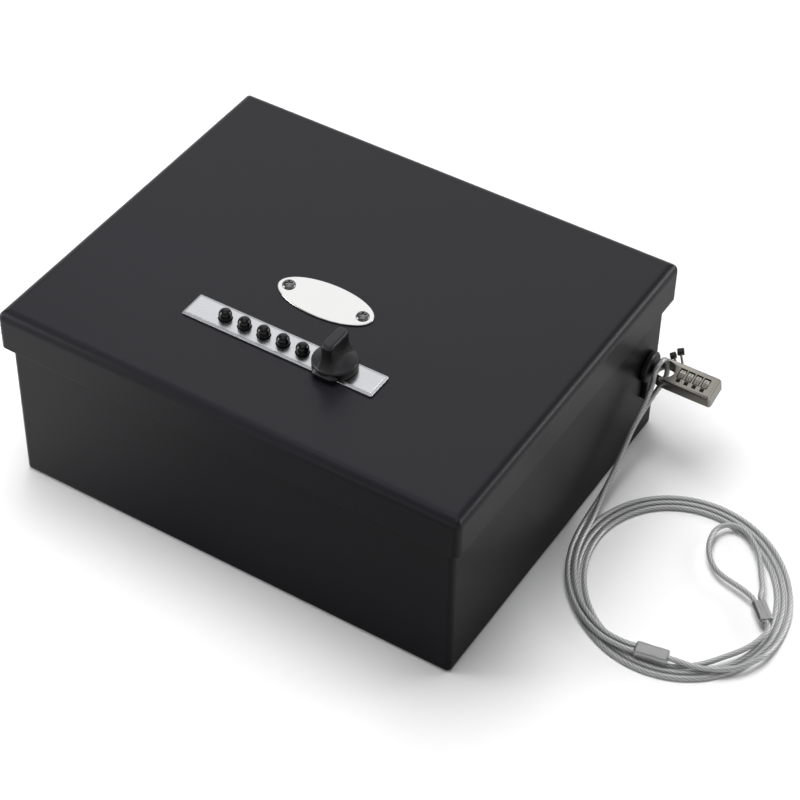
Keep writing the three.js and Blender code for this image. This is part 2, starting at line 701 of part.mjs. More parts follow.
function lockBody() {
  const bodyEnd = lockEnd - endCapThickness - seat;
  const half = windowWidth / 2;
  const windowFront = dialBack - windowHalfLength;
  const windowBack = dialBack + windowHalfLength;
  const windows = dialUs.map((u) => block([u - half, windowFront, 0], [u + half, windowBack, lockThickness]));
  return cut(
    lockBlank(),
    block([bodyEnd, -lockWidth, -lockThickness], [lockEnd + overrun, lockWidth, lockThickness]),
    bar("z", eyeRadius, -lockThickness, lockThickness, eyeU, 0, roundSides),
    block([dialRoomStart, roomFront, dialRoomFloor], [lockEnd, roomBack, dialRoomCeiling]),
    ...windows,
    bar("x", barRadius + play, 0, lockStart + barReach + play),
    leaningBore(release),
    leaningBore(codeSet),
  );
}

// The end cap closes the dial room. A spigot on it fills the room's mouth.
function lockEndCap() {
  const start = lockEnd - endCapThickness;
  const end = block([start, -lockWidth, -lockThickness], [lockEnd + overrun, lockWidth, lockThickness]);
  const inset = play / 2;
  const spigotLow = [spigotStart, roomFront + inset, dialRoomFloor + inset];
  const spigotHigh = [start + endCapThickness / 2, roomBack - inset, dialRoomCeiling - inset];
  return join(overlapOf(lockBlank(), end), block(spigotLow, spigotHigh));
}

function dial() {
  const wheel = bar("x", dialRadius, -dialThickness / 2, dialThickness / 2, 0, 0, dialFaces);
  return cut(wheel, bar("x", dialShaftRadius + play / 2, -overrun, overrun));
}

// The bar's flat head passes the slot in the wall, then turns behind it.
function lockBar() {
  const headEnd = -(sheet + backPlateThickness + 2 * seat + play);
  const shaft = bar("x", barRadius, headEnd, lockStart + barReach);
  const half = [barHeadHeight / 2, barHeadLength / 2];
  const head = block([headEnd - barHeadThickness, -half[0], -half[1]], [headEnd, half[0], half[1]]);
  return join(shaft, head);
}

const dialShaft = bar("x", dialShaftRadius, dialRoomStart + seat, spigotStart - seat, dialBack, dialLift);
place(dialLock, "dial_lock_body", lockBody(), nickel);
place(dialLock, "dial_lock_end_cap", lockEndCap(), nickel);
place(dialLock, "dial_shaft", dialShaft, zincPlate);
dialUs.forEach((u, i) => place(dialLock, `dial_${i + 1}`, dial(), nickel, [u, dialBack, dialLift]));
place(dialLock, "lock_bar", lockBar(), zincPlate);
[["release", release], ["code_set", codeSet]].forEach(([name, button]) => {
  const stem = leaningBar(lockStemRadius, button, -button.depth, button.out - lockStemGap);
  place(dialLock, `${name}_stem`, stem, nickel);
  place(dialLock, `${name}_button`, leaningCap(button), blackPlastic);
});

// Cable
function section(radius, sides) {
  const points = Array.from({ length: sides }, (_, i) => {
    const angle = (2 * Math.PI * (i + 0.5)) / sides;
    return new THREE.Vector2(radius * Math.cos(angle), radius * Math.sin(angle));
  });
  return new THREE.Shape(points);
}

function cableTube(route, steps) {
  const path = new THREE.CatmullRomCurve3(route.map((point) => new THREE.Vector3(...point)));
  const shape = section(cableDiameter / 2, cableSides);
  return new THREE.ExtrudeGeometry(shape, { steps, extrudePath: path, bevelEnabled: false });
}

// An oval pressed sleeve, lying along its turn in the floor's plane.
function placeSleeve(name, size) {
  const shape = roundedRectangle(size.width, size.thickness, size.thickness * sleeveCornerShare);
  const sleeve = prism(shape, -size.length / 2, size.length / 2).rotateX(Math.PI / 2).rotateZ(Math.PI / 2);
  const mesh = place(cable, name, sleeve, aluminium, [size.x, size.y, size.z]);
  mesh.rotation.z = THREE.MathUtils.degToRad(size.turn);
}

// A point on a sleeve's middle line, this far from its middle.
function onSleeve(size, distance) {
  const turn = THREE.MathUtils.degToRad(size.turn);
  return new THREE.Vector3(size.x + distance * Math.cos(turn), size.y + distance * Math.sin(turn), size.z);
}

const smooth = THREE.MathUtils.smoothstep;

// The coil's middle line. It leaves the large sleeve above the other turns, crosses outwards over them, drops
// to the floor, winds inwards at a steady pitch round a slightly oval ring, and climbs to the small sleeve.
// Its crossing, settling, climbing and leaving are counted in steps from its nearer end.
function coilPoints() {
  const exit = largeSleeve.length / 2 + sleeveGap;
  const points = [onSleeve(largeSleeve, exit), onSleeve(largeSleeve, exit + cableDiameter)];
  const floorZ = cableDiameter / 2 + seat;
  const step = 360 / coilSteps;
  for (let angle = coilStart + step / 2; angle <= coilEnd; angle += step) {
    const turn = THREE.MathUtils.degToRad(angle);
    const oval = coilOval * Math.cos(2 * (turn - THREE.MathUtils.degToRad(coilOvalTurn)));
    const ring = coilRadius - (coilPitch * (angle - coilStart)) / 360 + oval;
    const after = (angle - coilStart) / step;
    const before = (coilEnd - angle) / step;
    const crossing = 1 - smooth(after, ...coilCrossing);
    const leaving = 1 - smooth(before, ...coilLeaving);
    const settled = Math.min(smooth(after, ...coilSettling), smooth(before, ...coilClimbing));
    const radius = ring + crossing * (coilRadius * coilInnerShare - ring) + leaving * coilLeaveOut;
    const z = floorZ + coilRise * (1 - settled);
    points.push(new THREE.Vector3(coilX + radius * Math.cos(turn), coilY + radius * Math.sin(turn), z));
  }
  const entry = -(smallSleeve.length / 2 + sleeveGap);
  points.push(onSleeve(smallSleeve, entry - cableDiameter), onSleeve(smallSleeve, entry));
  return points;
}

// A tube with flat sides carried along points that lie nearly level: one ring of corners at each point.
function levelTube(points, radius, sides) {
  const corners = [];
  const faces = [];
  const up = new THREE.Vector3(0, 0, 1);
  points.forEach((point, i) => {
    const ahead = points[Math.min(i + 1, points.length - 1)];
    const behind = points[Math.max(i - 1, 0)];
    const along = ahead.clone().sub(behind).normalize();
    const across = up.clone().cross(along).normalize();
    const above = along.clone().cross(across);
    for (let k = 0; k < sides; k++) {
      const angle = (2 * Math.PI * (k + 0.5)) / sides;
      const corner = point.clone().addScaledVector(across, radius * Math.cos(angle));
      corner.addScaledVector(above, radius * Math.sin(angle));
      corners.push(corner.x, corner.y, corner.z);
    }
  });
  const last = (points.length - 1) * sides;
  for (let ring = 0; ring < last; ring += sides) {
    for (let k = 0; k < sides; k++) {
      const next = (k + 1) % sides;
      faces.push(ring + k, ring + next, ring + sides + next);
      faces.push(ring + k, ring + sides + next, ring + sides + k);
    }
  }
  for (let k = 1; k < sides - 1; k++) {
    faces.push(0, k + 1, k);
    faces.push(last, last + k, last + k + 1);
  }
  const geometry = new THREE.BufferGeometry();
  geometry.setAttribute("position", new THREE.Float32BufferAttribute(corners, 3));
  geometry.setIndex(faces);
  return geometry;
}

// The length of a coil's middle line, and the least gap between its own turns, taken on points along it.
function measureCoil(points) {
  const line = new THREE.CatmullRomCurve3(points);
  const count = points.length * samplesPerPoint;
  const samples = line.getSpacedPoints(count);
  const length = line.getLength();
  const apart = Math.ceil((4 * cableDiameter * count) / length);
  let least = Infinity;
  for (let i = 0; i < samples.length; i++) {
    for (let j = i + apart; j < samples.length; j++) {
      least = Math.min(least, samples[i].distanceTo(samples[j]));
    }
  }
  return { gap: least - cableDiameter, length };
}

const coil = coilPoints();
place(cable, "cable_large_eye", cableTube(largeEyeRoute, largeEyeSteps), coatedCable);
placeSleeve("cable_large_sleeve", largeSleeve);
place(cable, "cable_coil", levelTube(coil, cableDiameter / 2, coilSides), coatedCable);
placeSleeve("cable_small_sleeve", smallSleeve);
place(cable, "cable_small_eye", cableTube(smallEyeRoute, smallEyeSteps), coatedCable);

const measured = measureCoil(coil);
console.log(`coil: least gap ${measured.gap.toFixed(2)} mm, length ${measured.length.toFixed(0)} mm`);

export default root;
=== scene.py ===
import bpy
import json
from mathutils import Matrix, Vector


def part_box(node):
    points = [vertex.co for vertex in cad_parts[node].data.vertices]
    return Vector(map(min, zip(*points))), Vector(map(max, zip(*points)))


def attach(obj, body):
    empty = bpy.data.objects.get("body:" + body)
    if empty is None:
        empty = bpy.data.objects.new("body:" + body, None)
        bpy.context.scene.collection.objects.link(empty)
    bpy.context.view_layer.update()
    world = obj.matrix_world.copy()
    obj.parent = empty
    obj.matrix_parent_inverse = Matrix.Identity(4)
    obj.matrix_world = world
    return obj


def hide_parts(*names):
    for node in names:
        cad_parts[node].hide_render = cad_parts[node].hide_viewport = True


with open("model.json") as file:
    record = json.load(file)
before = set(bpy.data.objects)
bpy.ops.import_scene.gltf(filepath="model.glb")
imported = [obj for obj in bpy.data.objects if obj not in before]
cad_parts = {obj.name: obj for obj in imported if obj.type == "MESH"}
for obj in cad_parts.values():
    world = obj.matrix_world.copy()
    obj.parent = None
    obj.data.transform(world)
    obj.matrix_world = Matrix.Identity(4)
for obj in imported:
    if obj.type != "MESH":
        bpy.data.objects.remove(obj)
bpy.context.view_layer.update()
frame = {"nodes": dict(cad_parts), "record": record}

import json
from math import ceil, cos, pi, radians, sin, tau

import bmesh
import bpy
import numpy as np
from bpy.props import FloatProperty, FloatVectorProperty, PointerProperty
from bpy.types import Operator, Panel, PropertyGroup
from mathutils import Vector

bl_info = {
    "name": "Portable Car Safe",
    "version": (1, 0, 0),
    "blender": (4, 5, 0),
    "location": "View3D > Sidebar > Car Safe",
    "description": "Shapes and finishes of a portable car safe, built round its packed model",
    "category": "Add Mesh",
}


# Sizes and colours that a user would change


def size(name, millimetres, description):
    """A length property. It is given in millimetres and kept in metres."""
    return FloatProperty(
        name=name, description=description, default=millimetres / 1000, min=0, unit="LENGTH", precision=5
    )


def share(name, value, description):
    """A property from nought to one."""
    return FloatProperty(name=name, description=description, default=value, min=0, max=1, subtype="FACTOR")


def watts(name, value, description):
    """A lamp's power, in watts."""
    return FloatProperty(name=name, description=description, default=value, min=0)


def colour(name, value, description):
    """A colour property, in linear light."""
    return FloatVectorProperty(
        name=name, description=description, default=value, min=0, max=1, size=3, subtype="COLOR"
    )


class CaseSizes(PropertyGroup):
    """Sizes of the folded case"""

    width: size("Width", 296, "Case width over its side walls")
    depth: size("Depth", 241, "Case depth over its front and back walls")
    rim: size("Rim height", 123.5, "Height of the lip's top face")
    bend: size("Bend", 3, "Outer radius of the bend round the bottom")
    corner: size("Corner", 3.4, "Outer radius of the upright corners")
    rim_bend: size("Rim bend", 2.2, "Outer radius of the bend into the lip")
    lip: size("Lip", 7, "How far the lip reaches inwards")


class LidSizes(PropertyGroup):
    """Sizes of the pressed lid"""

    width: size("Width", 305, "Lid width over its skirt")
    depth: size("Depth", 250, "Lid depth over its skirt")
    top: size("Top", 127, "Height of the lid's top face")
    skirt: size("Skirt", 27, "How far the skirt hangs down from the top face")
    bend: size("Bend", 6.4, "Outer radius of the bend from top to skirt")
    corner: size("Corner", 3.8, "Outer radius of the upright corners")
    sheet: size("Sheet", 1.5, "Thickness of the steel sheet")


class PlateSizes(PropertyGroup):
    """Sizes of the lock's face plate, push buttons and knob"""

    length: size("Length", 126.6, "Length of the face plate")
    depth: size("Depth", 18.8, "Depth of the face plate")
    thickness: size("Thickness", 1.6, "Thickness of the face plate")
    border: size("Border", 1.5, "Width of the bevelled border")
    button_radius: size("Button radius", 3.9, "Radius of a push button")
    button_height: size("Button height", 6.2, "How far a push button stands out of the plate")
    button_pitch: size("Button pitch", 13, "Step from one push button to the next")
    knob_radius: size("Knob radius", 13.2, "Radius of the knob's round base")
    knob_height: size("Knob height", 21.5, "Height of the knob over its base")
    grip_length: size("Grip length", 20, "Length of the grip at its top")
    grip_width: size("Grip width", 7.6, "Width of the grip at its top")


class BadgeSizes(PropertyGroup):
    """Sizes of the bare oval badge"""

    length: size("Length", 63, "Length of the badge")
    depth: size("Depth", 28.4, "Depth of the badge")
    thickness: size("Thickness", 1, "Thickness of the badge")
    screw_spacing: size("Screw spacing", 50, "Distance between the two screws")
    screw_radius: size("Screw radius", 4, "Radius of a screw's head")
    screw_height: size("Screw height", 1.8, "Height of a screw's head")


class DialSizes(PropertyGroup):
    """Sizes of the dial lock's dials and marks"""

    pitch: size("Dial pitch", 5.2, "Step from one dial to the next")
    radius: size("Dial radius", 4.6, "Radius over a dial's edges")
    width: size("Dial width", 3.7, "Width of a dial")
    digit: size("Digit", 2.9, "Height of a digit")
    mark: size("Mark", 2.5, "Side of a square index mark")


class CableSizes(PropertyGroup):
    """Sizes of the coated steel cable"""

    diameter: size("Diameter", 3.2, "Cable diameter over its coat")
    lay: size("Lay", 21, "Length of one turn of a strand round the rope")
    coil_radius: size("Coil radius", 68.5, "Radius of the coil's outer turn")
    coil_pitch: size("Coil pitch", 3.85, "Step from one turn to the next")
    ring_step: size("Ring step", 1.3, "Distance between the rings of points along the cable")


class SafeColours(PropertyGroup):
    """Colours of the finishes"""

    powder_coat: colour("Powder coat", (0.0105, 0.0102, 0.013), "Case and lid")
    foam: colour("Foam", (0.016, 0.016, 0.018), "Liners")
    zinc: colour("Zinc", (0.52, 0.53, 0.55), "Hinge, strike and lock works")
    brushed_steel: colour("Brushed steel", (0.6, 0.607, 0.625), "Face plate")
    polished_steel: colour("Polished steel", (0.73, 0.73, 0.725), "Badge")
    screw_steel: colour("Screw steel", (0.2, 0.2, 0.2), "Badge screws")
    gloss_black: colour("Gloss black", (0.002, 0.002, 0.0025), "Push buttons")
    matt_black: colour("Matt black", (0.009, 0.009, 0.0105), "Knob, collar and lock buttons")
    nickel: colour("Nickel", (0.37, 0.352, 0.32), "Dial lock")
    aluminium: colour("Aluminium", (0.44, 0.44, 0.445), "Pressed sleeves")
    cable: colour("Cable", (0.47, 0.475, 0.475), "Strands under the cable's coat")
    ink: colour("Ink", (0.004, 0.004, 0.004), "Digits and index marks")


class StudioSettings(PropertyGroup):
    """Light and camera"""

    lens: FloatProperty(name="Lens", description="Focal length in millimetres", default=107.17, min=1)
    key: watts("Key light", 19.5, "Power of the key light in watts")
    side: watts("Side light", 4.4, "Power of the side light in watts")
    back: watts("Back light", 4.4, "Power of the low back light in watts")
    panel: watts("Panel", 4.4, "Power of the panel that the lid shows, in watts")
    ambient: share("Ambient", 0.07, "Strength of the light from all round")
    ceiling: share("Ceiling", 0.28, "Brightness that shiny surfaces show above, where the horizon is 1")
    overhead: share("Overhead", 1.0, "Brightness that shiny surfaces show straight above")
    pool: share("Side pools", 0.6, "Brightness of the floor at both sides that shiny walls show")
    floor_glow: share("Floor glow", 0.03, "Share of the floor's white that shadows don't reach")


class CarSafe(PropertyGroup):
    """All settings of the safe"""

    case: PointerProperty(type=CaseSizes)
    lid: PointerProperty(type=LidSizes)
    plate: PointerProperty(type=PlateSizes)
    badge: PointerProperty(type=BadgeSizes)
    dials: PointerProperty(type=DialSizes)
    cable: PointerProperty(type=CableSizes)
    colours: PointerProperty(type=SafeColours)
    studio: PointerProperty(type=StudioSettings)


def settings():
    return bpy.context.scene.car_safe


# Places and counts that the part's source fixes: metres, and degrees for the coil's turns

PLATE_X, LOCK_Y, PLATE_TOP = 0.0, -0.0606, 0.1287
FIRST_BUTTON_X, BUTTON_COUNT = -0.0397, 5
KNOB_X, KNOB_Z, SPINDLE_RADIUS = 0.0338, 0.1291, 0.003
BADGE_X, BADGE_Y, BADGE_Z = -0.001, -0.017, 0.1271
WALL_X, ANCHOR_Y, ANCHOR_Z, LOCK_TILT = 0.148, 0.1045, 0.0588, radians(15)
FIRST_DIAL_U, DIAL_BACK, DIAL_LIFT, DIAL_COUNT = 0.02305, 0.001, 0.001, 4
COIL_X, COIL_Y, COIL_OVAL, COIL_OVAL_TURN = 0.2257, 0.0059, 0.0038, radians(-58)
COIL_START, COIL_END, COIL_STEP = -60, 1075, 15
COIL_FLOOR, COIL_RISE, STRANDS = 0.0017, 0.0041, 6
LARGE_SLEEVE = dict(
    place=(0.2377, -0.0512, 0.0069), turn=radians(10.3), length=0.0188, width=0.0094, thick=0.0059
)
SMALL_SLEEVE = dict(
    place=(0.2761, 0.0107, 0.0062), turn=radians(133.4), length=0.0144, width=0.009, thick=0.0055
)
SLEEVE_GAP = 0.0003
LARGE_EYE_MM = [
    [228.5, -54.8, 6.9], [223.5, -55.7, 6.7], [207.2, -53.9, 5.6], [191.5, -47, 5.4],
    [177.9, -35.6, 5.4], [168, -21.8, 5.4], [161.2, -5.4, 5.4], [158.3, 8, 5.4],
    [157.1, 18, 5.5], [156.7, 28, 6.4], [156.9, 40.8, 10.4], [156.9, 53.6, 18.1],
    [156.6, 63.8, 25.9], [156.4, 73.4, 33.7], [156.6, 82, 38.6], [157, 90.5, 42],
    [157.7, 98, 45.6], [158.7, 104.4, 49], [159.5, 108.2, 53.2], [159.6, 108.4, 59.3],
    [159.6, 106.8, 65], [159.5, 103.4, 70], [159.3, 99, 71.8], [158.9, 94.7, 70.2],
    [158.6, 92.5, 66], [158.3, 92.1, 60.6], [158, 91, 55.2], [157.7, 87.6, 49.4],
    [157.5, 80.3, 43.2], [157.4, 71.7, 36.7], [157.6, 62.1, 28.9], [157.9, 51.9, 21.1],
    [158.4, 39.1, 13.4], [159.9, 27.4, 8.2], [161.2, 17, 6], [162.6, 6, 5.4],
    [165.4, -6, 5.4], [171.6, -20.2, 5.4], [180.8, -33.1, 5.4], [193.6, -43.7, 5.4],
    [208.4, -50.4, 5.6], [222.8, -51.9, 6.7], [227.8, -51.1, 6.9],
]  # fmt: skip
SMALL_EYE_MM = [
    [269.4, 15, 6.2], [266.9, 17, 6.2], [260.4, 19.6, 6.1], [252.6, 21.6, 5.9], [246, 23.1, 5.8],
    [239.7, 25.6, 5.8], [234.4, 29.8, 5.8], [230.2, 35.3, 5.8], [227.1, 41.7, 5.8], [225.4, 49.1, 5.8],
    [225.8, 55.7, 5.8], [228.8, 60.6, 5.8], [233.2, 63.2, 5.8], [238.4, 63, 5.8], [244, 60.3, 5.8],
    [249.8, 55.6, 5.8], [255.4, 49.4, 5.8], [260, 42, 5.9], [264.2, 34.3, 6], [268.4, 26.6, 6.2],
    [270.4, 20.4, 6.2], [272.2, 17.6, 6.2],
]  # fmt: skip


# Finishes


class Nodes:
    """A short way to add and join the nodes of one material or world."""

    def __init__(self, tree):
        self.tree = tree

    def fill(self, socket, value):
        """Joins a socket to another, or gives it a value."""
        if isinstance(value, bpy.types.NodeSocket):
            self.tree.links.new(value, socket)
        else:
            socket.default_value = value

    def add(self, kind, inputs=None, **values):
        node = self.tree.nodes.new(kind)
        for key, value in values.items():
            setattr(node, key, value)
        for key, value in (inputs or {}).items():
            self.fill(node.inputs[key], value)
        return node

    def math(self, operation, first, second=0.0):
        return self.add("ShaderNodeMath", {0: first, 1: second}, operation=operation).outputs[0]

    def weighed(self, first, first_weight, second, second_weight):
        """The sum of two values, each times its weight."""
        weighted = self.math("MULTIPLY", first, first_weight)
        return self.math("ADD", weighted, self.math("MULTIPLY", second, second_weight))

    def waves(self, turns):
        """A row of half waves, one for each turn, from nought to one."""
        return self.math("ABSOLUTE", self.math("SINE", self.math("MULTIPLY", turns, pi)))

    def noise(self, vector, scale, detail=2.0, roughness=0.5):
        inputs = {"Vector": vector, "Scale": scale, "Detail": detail, "Roughness": roughness}
        return self.add("ShaderNodeTexNoise", inputs).outputs["Fac"]

    def between(self, factor, low, high):
        return self.add("ShaderNodeMapRange", {"Value": factor, "To Min": low, "To Max": high}).outputs[0]

    def ramp(self, value, start, end, low, high):
        """A soft step from low to high while the value runs from start to end."""
        inputs = {"Value": value, "From Min": start, "From Max": end, "To Min": low, "To Max": high}
        return self.add("ShaderNodeMapRange", inputs, interpolation_type="SMOOTHSTEP").outputs[0]

    def blend(self, factor, first, second):
        node = self.add("ShaderNodeMix", data_type="RGBA")
        for socket, value in (("Factor", factor), (6, first), (7, second)):
            self.fill(node.inputs[socket], value)
        return node.outputs[2]

    def split(self, vector):
        return self.add("ShaderNodeSeparateXYZ", {0: vector}).outputs

    def seen(self, path):
        """One for what the camera sees, also through glass, and nought for light that bounces."""
        return self.math("MAXIMUM", path["Is Camera Ray"], path["Is Transmission Ray"])


def rgba(value, factor=1.0):
    return (*[min(1.0, channel * factor) for channel in value], 1.0)


def begin_finish(name, constants):
    """A material with its shader's own constants set, and object coordinates to build a pattern on."""
    material = bpy.data.materials.new(f"{name}_finish")
    material.use_nodes = True
    nodes = Nodes(material.node_tree)
    shader = material.node_tree.nodes["Principled BSDF"].inputs
    for key, value in constants.items():
        shader[key].default_value = value
    return nodes, shader, nodes.add("ShaderNodeTexCoord").outputs["Object"]


def end_finish(nodes, shader, base, roughness, height, depth):
    """Joins a pattern's colour, roughness and height to the shader. The depth is the bump's, in metres."""
    bump = nodes.add("ShaderNodeBump", {"Height": height, "Distance": depth, "Strength": 1.0})
    for socket, value in (("Base Color", base), ("Roughness", roughness), ("Normal", bump.outputs[0])):
        nodes.fill(shader[socket], value)


def grained_finish(name, base, rough, grain, depth, stretch=(1, 1, 1), tint=0.12, **constants):
    """A finish with a fine grain: noise of this many grains to the metre, stretched along an axis, moves the
    colour, the roughness and the height, and a broad noise adds slow changes of tone."""
    names = {"metal": "Metallic", "specular": "Specular IOR Level", "brushed": "Anisotropic"}
    nodes, shader, place = begin_finish(name, {names[key]: value for key, value in constants.items()})
    stretched = nodes.add("ShaderNodeMapping", {"Vector": place, "Scale": stretch}).outputs[0]
    fine = nodes.noise(stretched, grain, 3.0, 0.6)
    mixed = nodes.weighed(fine, 0.6, nodes.noise(place, 14.0), 0.4)
    tone = nodes.blend(mixed, rgba(base, 1 - tint), rgba(base, 1 + tint))
    end_finish(nodes, shader, tone, nodes.between(fine, *rough), fine, depth)


def powder_coat_finish(base):
    """Satin powder coat: a fine orange-peel grain over a slow unevenness of the sheet."""
    nodes, shader, place = begin_finish("powder_coat", {"Specular IOR Level": 0.2})
    peel = nodes.noise(place, 950.0, 2.0, 0.55)
    speck = nodes.noise(place, 2600.0, 1.0)
    sheet = nodes.noise(place, 9.0, 1.0)
    tone = nodes.blend(nodes.weighed(sheet, 0.5, speck, 0.5), rgba(base, 0.86), rgba(base, 1.14))
    rough = nodes.math("ADD", nodes.between(peel, 0.27, 0.37), nodes.between(sheet, -0.03, 0.04))
    end_finish(nodes, shader, tone, rough, nodes.weighed(peel, 0.6, speck, 0.4), 0.00006)


def rope_finish(base, lay, wires_round=42, wires_to_metre=900):
    """Steel strands under a clear coat: the strands wind round the cable, with fine wires along each. The
    pattern reads the piece's own map: metres along the cable, and turns round it."""
    nodes, shader, _ = begin_finish(
        "coated_cable", {"Metallic": 0.55, "Coat Weight": 1.0, "Coat Roughness": 0.12, "Coat IOR": 1.5}
    )
    along, turns, _ = nodes.split(nodes.add("ShaderNodeUVMap", uv_map="along").outputs[0])
    strand = nodes.waves(nodes.weighed(turns, STRANDS, along, -STRANDS / lay))
    wire = nodes.waves(nodes.weighed(turns, wires_round, along, wires_to_metre))
    height = nodes.weighed(nodes.math("POWER", strand, 0.6), 1.0, wire, 0.18)
    # Painted shade and highlight: the colour darkens in the grooves between the strands and lightens on their
    # crests. The same pattern also sets the bump.
    tone = nodes.blend(nodes.between(height, 0.0, 0.9), rgba(base, 0.22), rgba(base, 1.2))
    end_finish(nodes, shader, tone, nodes.between(wire, 0.42, 0.3), height, 0.00012)


def make_finishes():
    """All finishes, by the names of the record's material slots, the badge's screws and the dials' ink."""
    c = settings().colours
    powder_coat_finish(c.powder_coat)
    grained_finish("foam", c.foam, (0.85, 0.95), 1400, 0.0004, tint=0.3, specular=0.2)
    grained_finish("zinc_plate", c.zinc, (0.28, 0.42), 420, 0.00002, tint=0.1, metal=0.95)
    grained_finish("brushed_plate", c.brushed_steel, (0.2, 0.36), 160, 0.00001, (1, 24, 24), 0.1,
                   metal=1.0, brushed=0.5)
    grained_finish("polished_steel", c.polished_steel, (0.09, 0.16), 90, 0.000004, tint=0.04, metal=1.0)
    grained_finish("screw_steel", c.screw_steel, (0.12, 0.2), 260, 0.000004, tint=0.08, metal=1.0)
    grained_finish("gloss_black", c.gloss_black, (0.08, 0.13), 300, 0.000006, tint=0.2, specular=0.35)
    grained_finish("black_plastic", c.matt_black, (0.36, 0.46), 1100, 0.00003, tint=0.18, specular=0.42)
    grained_finish("nickel", c.nickel, (0.18, 0.28), 300, 0.00001, (1, 9, 9), metal=1.0)
    grained_finish("aluminium_sleeve", c.aluminium, (0.34, 0.5), 500, 0.00003, tint=0.16, metal=0.95)
    grained_finish("dial_ink", c.ink, (0.4, 0.5), 900, 0.00001, specular=0.15)
    rope_finish(c.cable, settings().cable.lay)


# Surfaces


def grid_mesh(grid, capped=True, along=None):
    """A closed surface from a grid of points: each row is a loop, counted anticlockwise seen from the end
    that the rows run to, and caps close the first and last loops. With along given, a map holds the distance
    along the rows and the turns round them. Points in one place are merged."""
    rows, columns = grid.shape[:2]
    row, column = np.meshgrid(np.arange(rows - 1), np.arange(columns), indexing="ij")
    following = (column + 1) % columns
    quads = np.stack([row * columns + column, row * columns + following,
                      (row + 1) * columns + following, (row + 1) * columns + column], -1).reshape(-1, 4)
    faces = quads.tolist()
    if capped:
        faces += [list(range(columns - 1, -1, -1)), list(range((rows - 1) * columns, rows * columns))]
    mesh = bpy.data.meshes.new("surface")
    mesh.from_pydata(grid.reshape(-1, 3).tolist(), [], faces)
    if along is not None:
        steps = ((0, 0), (0, 1), (1, 1), (1, 0))
        corner = np.stack([np.stack([along[row + i], (column + j) / columns], -1) for i, j in steps], -2)
        values = np.zeros((len(mesh.loops), 2), np.float32)
        values[: corner.size // 2] = corner.reshape(-1, 2)
        mesh.uv_layers.new(name="along").data.foreach_set("uv", values.ravel())
    merge(mesh)
    return mesh


def linked(name, data):
    """A new object of a mesh or of other data, in the scene."""
    made = bpy.data.objects.new(name, data)
    bpy.context.collection.objects.link(made)
    return made


def applied(item):
    """The mesh that an object gives once it is worked out. The object is removed."""
    bpy.context.view_layer.update()
    mesh = bpy.data.meshes.new_from_object(item.evaluated_get(bpy.context.evaluated_depsgraph_get()))
    bpy.data.objects.remove(item)
    return mesh


def merge(mesh, flatten=False):
    """Merges points in one place, and with flatten also joins the faces that lie in one plane."""
    work = bmesh.new()
    work.from_mesh(mesh)
    bmesh.ops.remove_doubles(work, verts=work.verts, dist=2e-6)
    if flatten:
        bmesh.ops.dissolve_limit(work, angle_limit=radians(0.5), verts=work.verts, edges=work.edges)
    work.to_mesh(mesh)
    work.free()


def joined(meshes):
    """One mesh of several."""
    work = bmesh.new()
    for mesh in meshes:
        work.from_mesh(mesh)
        bpy.data.meshes.remove(mesh)
    made = bpy.data.meshes.new("joined")
    work.to_mesh(made)
    work.free()
    return made


def grid_of(x, y, z):
    """A grid of points from its coordinates, where each may stay the same along the rows or the columns."""
    return np.stack(np.broadcast_arrays(x, y, z), -1)


def around(sides):
    """Angles evenly round a turn."""
    return np.linspace(0, tau, sides, endpoint=False)[None]


def squared(wave, power):
    """A sine or cosine to a power below one, with its sign kept, which squares a round outline."""
    return np.sign(wave) * np.abs(wave) ** power


def loops(profile, half_x, half_y, corner, steps=6, support=0.0004):
    """Rounded rectangles as rows of a grid. A row is drawn in by its inset, lies at its height and has
    corners of its own radius, and a point stands this support beside each arc's ends."""
    inset, height = profile[:, :1], profile[:, 1:]
    radius = np.broadcast_to(corner, len(inset))[:, None]
    quarter = np.linspace(0, pi / 2, steps + 1)
    arc = np.concatenate([[0.0], quarter, [pi / 2]])
    beside = np.concatenate([[-support], np.zeros(steps + 1), [support]])
    angle = np.concatenate([arc + turn * pi / 2 for turn in range(4)])[None]
    side = np.tile(beside, 4)[None]
    sign_x = np.repeat([1, -1, -1, 1], steps + 3)[None]
    sign_y = np.repeat([1, 1, -1, -1], steps + 3)[None]
    x = sign_x * (half_x - inset - radius) + radius * np.cos(angle) - side * np.sin(angle)
    y = sign_y * (half_y - inset - radius) + radius * np.sin(angle) + side * np.cos(angle)
    return grid_of(x, y, height)


def arc_points(centre, radius, start, end, steps=6):
    """Points of an arc in a profile's plane, its angles in degrees."""
    angle = np.radians(np.linspace(start, end, steps + 1))
    return np.stack([centre[0] + radius * np.cos(angle), centre[1] + radius * np.sin(angle)], -1)


def mitred(inset, corner, least=0.0009):
    """Corner radii of folded sheet, whose bends meet in a mitre: the upright corner's radius fades to the
    least one, by a power of e, as the bend draws the outline in."""
    return least + (corner - least) * np.exp(-np.asarray(inset) / (0.35 * corner))


def turned(profile, sides=48):
    """A turned shape: the profile's radius and height carried round the upright axis."""
    profile = np.asarray(profile, float)
    radius, height = profile[:, :1], profile[:, 1:]
    grid = grid_of(radius * np.cos(around(sides)), radius * np.sin(around(sides)), height)
    return grid_mesh(grid, capped=False)


def slab(half_x, half_y, bottom, top, edge, corner, steps=4):
    """A flat block with rounded edges: its inset follows a quarter circle at its bottom and at its top."""
    lower = arc_points((edge, bottom + edge), edge, 270, 180, steps)
    upper = arc_points((edge, top - edge), edge, 180, 90, steps)
    profile = np.vstack([lower, upper])
    radius = np.maximum(corner - profile[:, 0], edge / 4)
    return grid_mesh(loops(profile, half_x, half_y, radius, steps, edge / 4))


